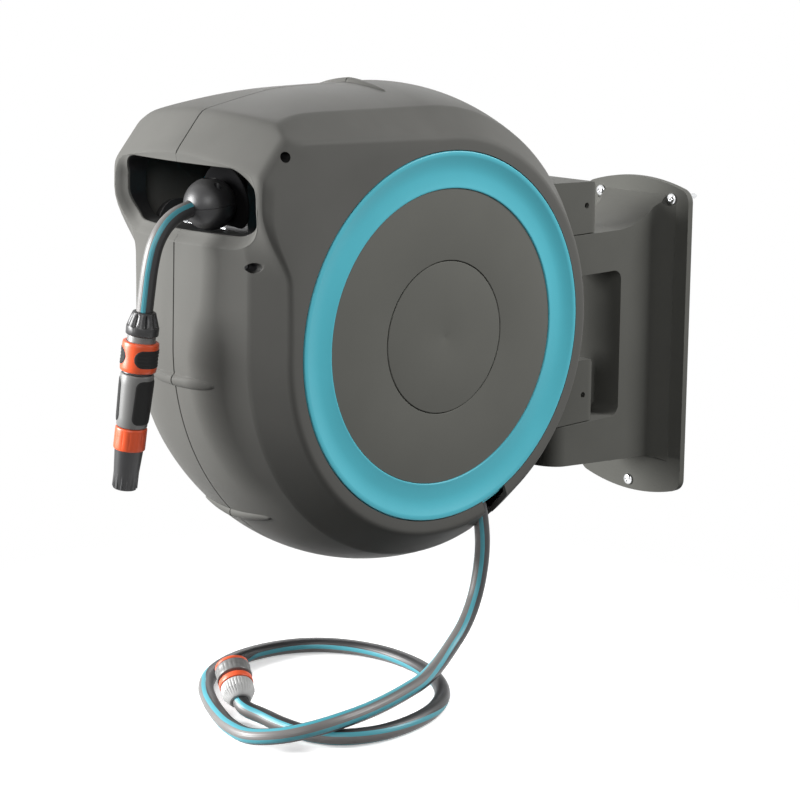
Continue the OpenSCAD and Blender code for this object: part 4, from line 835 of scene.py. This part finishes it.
hung("nozzle_ring_skin", np.array(setting) + [0, RING_AT], 168, "nozzle_head", "orange_plastic",
     ["nozzle_ring"], waves(14, 0.5, RING_AT + 3, RING_AT + 19.5, 0.5))
tip = frame["nodes"]["nozzle_tip"]
tip_edges = tip.modifiers.new("edges", "BEVEL")
tip_edges.width, tip_edges.segments, tip_edges.limit_method = 0.3 * MM, 2, "ANGLE"
tip_edges.angle_limit = math.radians(35)

# %% [markdown]
# ## Supply connector
# At the end of the supply hose sit a light grey clamp nut with fine ribs and a quick connector with an
# orange body, a grey release sleeve and an orange rim round its socket.

# %% Supply connector
SUPPLY_AT = np.array(SUPPLY[-2], float)
SUPPLY_AXIS = np.array([-0.78943, 0.37654, 0.48481])
lie = along_axis(SUPPLY_AT, SUPPLY_AXIS)
clamp = [(8.3, 0), (10.2, 0), (10.9, 0.5), (12.2, 2.6), (14.4, 6.2), (16, 9.2), (16.5, 10.2),
         (16.6, 11), (16.6, 14.5), (16.6, 18.4), (16.3, 19.2), (15.8, 19.7), (8.3, 19.7)]
shell = rounded([(5.5, 20), (17.2, 20), (17.2, 26), (13, 26), (13, 43), (17.2, 43),
                 (17.2, 46), (8.9, 46), (8.9, 26), (5.5, 26)], 0.6)
grip = [(13.3, 28.8), (17, 28.8), (17.7, 29.2), (18, 30), (17.7, 33), (17.5, 35.5), (17.7, 38),
        (18, 41), (17.7, 41.9), (17, 42.3), (13.3, 42.3)]
nut_ribs, sleeve_ribs = waves(32, 0.7, 3.0, 19.2, 0.7), waves(24, 0.4, 31.0, 40.5, 0.7)
supply_pieces = [
    turned("supply_nut_skin", clamp, 192, lie, "reel", "light_grey_plastic", ["supply_nut"], nut_ribs, 45),
    turned("supply_connector_skin", shell, 120, lie, "reel", "orange_plastic", ["supply_connector"]),
    turned("supply_sleeve_skin", grip, 144, lie, "supply_sleeve", "grey_plastic", ["supply_sleeve"],
           sleeve_ribs)]

# %% [markdown]
# ## Materials
# Shader maths is written as arithmetic: a small class stands for one value in a node tree, and adding
# or multiplying two of them makes the maths node. Patterns use each piece's own coordinates, so they
# stay with it when it moves; the hoses use their surface map.

# %% Shader tools


class Value:
    """One value in a node tree; arithmetic on it adds the maths nodes that work it out."""

    def __init__(self, paint, socket):
        self.paint, self.socket = paint, socket

    def do(self, operation, *others):
        return self.paint.node("Math", [self, *others], operation=operation)

    def __add__(self, other):
        return self.do("ADD", other)

    def __sub__(self, other):
        return self.do("SUBTRACT", other)

    def __mul__(self, other):
        return self.do("MULTIPLY", other)

    def __pow__(self, other):
        return self.do("POWER", other)

    __radd__ = __add__

    def between(self, low, high):
        return self.do("GREATER_THAN", low) * self.do("LESS_THAN", high)


class Paint:
    """The node tree of a material or a world, with one method that makes a node and links its inputs."""

    def __init__(self, owner, shader="Principled BSDF"):
        owner.use_nodes = True
        self.owner, self.tree = owner, owner.node_tree
        self.shader = self.tree.nodes[shader]

    def put(self, socket, value):
        if isinstance(value, Value):
            self.tree.links.new(value.socket, socket)
        else:
            socket.default_value = value

    def node(self, kind, inputs=(), out=0, **settings):
        made = self.tree.nodes.new("ShaderNode" + kind)
        for key, value in settings.items():
            setattr(made, key, value)
        for key, value in inputs.items() if isinstance(inputs, dict) else enumerate(inputs):
            self.put(made.inputs[key], value)
        return Value(self, made.outputs[out])

    def noise(self, place, scale, detail=3.0):
        return self.node("TexNoise", {"Vector": place, "Scale": scale, "Detail": detail})

    def mix(self, share, a, b):
        return self.node("Mix", {0: share, 6: a, 7: b}, out=2, data_type="RGBA")

    def bump(self, height, depth):
        return self.node("Bump", {"Height": height, "Distance": depth, "Strength": 1.0})

    def finish(self, **sockets):
        for name, value in sockets.items():
            self.put(self.shader.inputs[name.replace("_", " ")], value)
        return self.owner

    def seen_ray(self):
        """1 for rays from the camera and for mirrored and refracted ones, and 0 for the rest."""
        ray = self.node("LightPath", out="Is Camera Ray")
        for kind in ("Is Glossy Ray", "Is Transmission Ray"):
            ray = ray.do("MAXIMUM", self.node("LightPath", out=kind))
        return ray


def tone(colour, share):
    """A linear colour made lighter or darker by a share, with full cover."""
    return tuple(c * share for c in colour) + (1.0,)


# %% [markdown]
# Moulded plastic has a fine grain, faint clouds of lighter and darker colour where it flowed, and a
# slightly paler film of dust on faces that look up. Metals have brushed roughness and small stains.

# %% Material recipes
DUST, BRUSHED = (0.45, 0.44, 0.42), (40.0, 40.0, 900.0)
GREY_HALF, STRIPE_END, HOSE_RIBS = 0.083, 0.175, 30


def moulded(name, colour, rough, grain_mm, grain_depth, cloud=0.07, shine=0.5):
    """Moulded plastic: clouded colour, specks, dust on upward faces, and a grain as bump."""
    paint = Paint(bpy.data.materials.new(name))
    place = paint.node("TexCoord", out="Object")
    clouds = paint.noise(place, 14.0)
    grain = paint.noise(place, 1000.0 / grain_mm, 2.0)
    up = paint.node("SeparateXYZ", [paint.node("NewGeometry", out="Normal")], out="Z")
    dust = up.do("MAXIMUM", 0.0) ** 2.0 * clouds * 0.10
    speckled = (clouds - 0.5) * 1.4 + (grain - 0.5) * 0.5 + 0.5
    base = paint.mix(speckled, tone(colour, 1 - cloud), tone(colour, 1 + cloud))
    dusty = paint.mix(dust, base, tone(DUST, 1))
    return paint.finish(Base_Color=dusty, Roughness=rough + (clouds - 0.5) * 0.12 + dust * 0.5,
                        Specular_IOR_Level=shine, Normal=paint.bump(grain, grain_depth * MM))


def metal(name, colour, rough):
    """Metal: brushed streaks in one direction as roughness and bump, with a few duller stains."""
    paint = Paint(bpy.data.materials.new(name))
    place = paint.node("TexCoord", out="Object")
    streaks = paint.noise(paint.node("Mapping", {"Vector": place, "Scale": BRUSHED}), 1.0)
    stains = paint.noise(place, 120.0)
    base = paint.mix(stains, tone(colour, 0.82), tone(colour, 1.08))
    dull = rough + (streaks - 0.5) * 0.2 + stains * 0.08
    return paint.finish(Base_Color=base, Metallic=1.0, Roughness=dull, Normal=paint.bump(streaks, 0.01 * MM))


def striped_hose(name, grey, black, teal):
    """Hose: a grey band between two teal stripes, and near-black round the rest.

    The place round the hose is the map's second value; fine ribs run along the hose."""
    paint = Paint(bpy.data.materials.new(name))
    spot = paint.node("SeparateXYZ", [paint.node("TexCoord", out="UV")], out="Y")
    way = ((spot + 0.5).do("FRACT") - 0.5).do("ABSOLUTE")
    place = paint.node("TexCoord", out="Object")
    clouds, grain = paint.noise(place, 40.0), paint.noise(place, 1500.0)
    dark = paint.mix(clouds, tone(black, 0.8), tone(black, 1.3))
    pale = paint.mix(clouds, tone(grey, 0.92), tone(grey, 1.08))
    shade = paint.mix(way.do("LESS_THAN", GREY_HALF), dark, pale)
    stripe = way.between(GREY_HALF, STRIPE_END)
    base = paint.mix(stripe, shade, paint.mix(grain, tone(teal, 0.9), tone(teal, 1.1)))
    ribs = (spot * (2 * math.pi * HOSE_RIBS)).do("SINE") * 0.5 + grain * 0.4
    return paint.finish(Base_Color=base, Roughness=0.42 + (clouds - 0.5) * 0.15,
                        Normal=paint.bump(ribs, 0.06 * MM))


PLASTICS = {
    "casing_plastic": ((0.116, 0.115, 0.108), 0.42, 0.6, 0.03, 0.07, 0.012),
    "cover_plastic": ((0.134, 0.134, 0.122), 0.40, 0.4, 0.012, 0.05, 0.012),
    "teal_plastic": ((0.078, 0.43, 0.52), 0.36, 0.5, 0.01, 0.05, 0.3),
    "bracket_plastic": ((0.108, 0.108, 0.099), 0.45, 0.7, 0.04, 0.07, 0.012),
    "black_plastic": ((0.012, 0.012, 0.013), 0.38, 0.5, 0.02, 0.2),
    "grey_plastic": ((0.135, 0.135, 0.132), 0.40, 0.5, 0.015),
    "light_grey_plastic": ((0.36, 0.36, 0.355), 0.42, 0.5, 0.015),
    "orange_plastic": ((0.72, 0.085, 0.018), 0.36, 0.5, 0.012, 0.05),
    "drum_plastic": ((0.006, 0.006, 0.0064), 0.6, 0.7, 0.03, 0.15, 0.01),
    # bearing_plastic is near-black so that the gap between knuckle and arm stays dark: painted shade there.
    "bearing_plastic": ((0.03, 0.03, 0.031), 0.5, 0.5, 0.01, 0.07, 0.2),
    "seal_rubber": ((0.014, 0.014, 0.014), 0.6, 0.8, 0.04, 0.2, 0.15),
}
METALS = {
    "chrome_screw": ((0.78, 0.79, 0.8), 0.16),
    "zinc_steel": ((0.55, 0.56, 0.57), 0.3),
    "dark_steel": ((0.16, 0.16, 0.17), 0.38),
}
MATERIALS = {name: moulded(name, *recipe) for name, recipe in PLASTICS.items()}
MATERIALS.update({name: metal(name, *recipe) for name, recipe in METALS.items()})
MATERIALS["hose_rubber"] = striped_hose("hose_rubber", (0.13, 0.125, 0.121), (0.018, 0.018, 0.019),
                                        (0.055, 0.285, 0.345))
for obj, slot in dressed:
    obj.data.materials.clear()
    obj.data.materials.append(MATERIALS[slot])
for part in frame["record"]["subparts"]:
    mesh = frame["nodes"][part["node"]].data
    mesh.materials.clear()
    mesh.materials.append(MATERIALS[part["material_slot"]])
print("materials:", len(MATERIALS))

# %% [markdown]
# ## Studio
# A pale floor lies under the hose loop and fades away round it. A large soft light stands in front on
# the left, a weaker one behind on the right, and two faint ones in front on the right and behind on the
# left. The surroundings are white where the camera sees them, also in mirrors, and dim elsewhere.

# %% Floor, lights and surroundings
FLOOR_Z, FLOOR_SPAN = -0.2975, np.linspace(-2.0, 2.0, 9)
LOOP_AT, FLOOR_WHOLE, FLOOR_GONE = (0.06, -0.53, FLOOR_Z), 0.28, 0.6
AIM, DIM, WHITE = (0.05, -0.45, 0.05), 0.05, (1.0, 1.0, 1.0, 1.0)


def floor_white():
    """A pale sheet that is whole near the hose loop and gone further out, and is there only when seen."""
    paint = Paint(bpy.data.materials.new("floor_white"))
    where = paint.node("TexCoord", out="Object")
    clouds = paint.noise(where, 3.0)
    far = paint.node("VectorMath", {0: where, 1: LOOP_AT}, out="Value", operation="DISTANCE")
    fade = paint.node("MapRange", {"Value": far, 1: FLOOR_WHOLE, 2: FLOOR_GONE, 3: 1.0, 4: 0.0},
                      interpolation_type="SMOOTHSTEP")
    return paint.finish(Base_Color=paint.mix(clouds, tone(WHITE[:3], 0.93), tone(WHITE[:3], 0.95)),
                        Roughness=0.7, Alpha=fade * paint.seen_ray(), Emission_Color=WHITE,
                        Emission_Strength=0.35)


def soft_light(name, place, size, power):
    """A square light of the given size that shines from place towards the part."""
    data = bpy.data.lights.new(name, "AREA")
    data.shape, data.size, data.energy = "SQUARE", size, power
    return aimed(name, data, place, AIM)


x, y = np.meshgrid(FLOOR_SPAN, FLOOR_SPAN, indexing="ij")
verts = joined(x, y, FLOOR_Z).reshape(-1, 3)
floor = new_object("floor", verts, grid_faces(*x.shape))
floor.data.materials.append(floor_white())
lights = [soft_light("key", (-1.6, -2.6, 0.6), 1.3, 208),
          soft_light("fill", (1.35, 1.0, 1.3), 1.0, 58),
          soft_light("front", (1.75, -2.5, 1.3), 1.2, 30),
          soft_light("back", (-1.6, 1.1, 1.5), 1.2, 20)]
scene.world = bpy.data.worlds.new("studio")
sky = Paint(scene.world, "Background")
level = sky.node("MapRange", {"Value": sky.seen_ray(), "To Min": DIM, "To Max": 1.0}, out="Result")
sky.finish(Color=WHITE, Strength=level)
print("lights:", [light.name for light in lights])
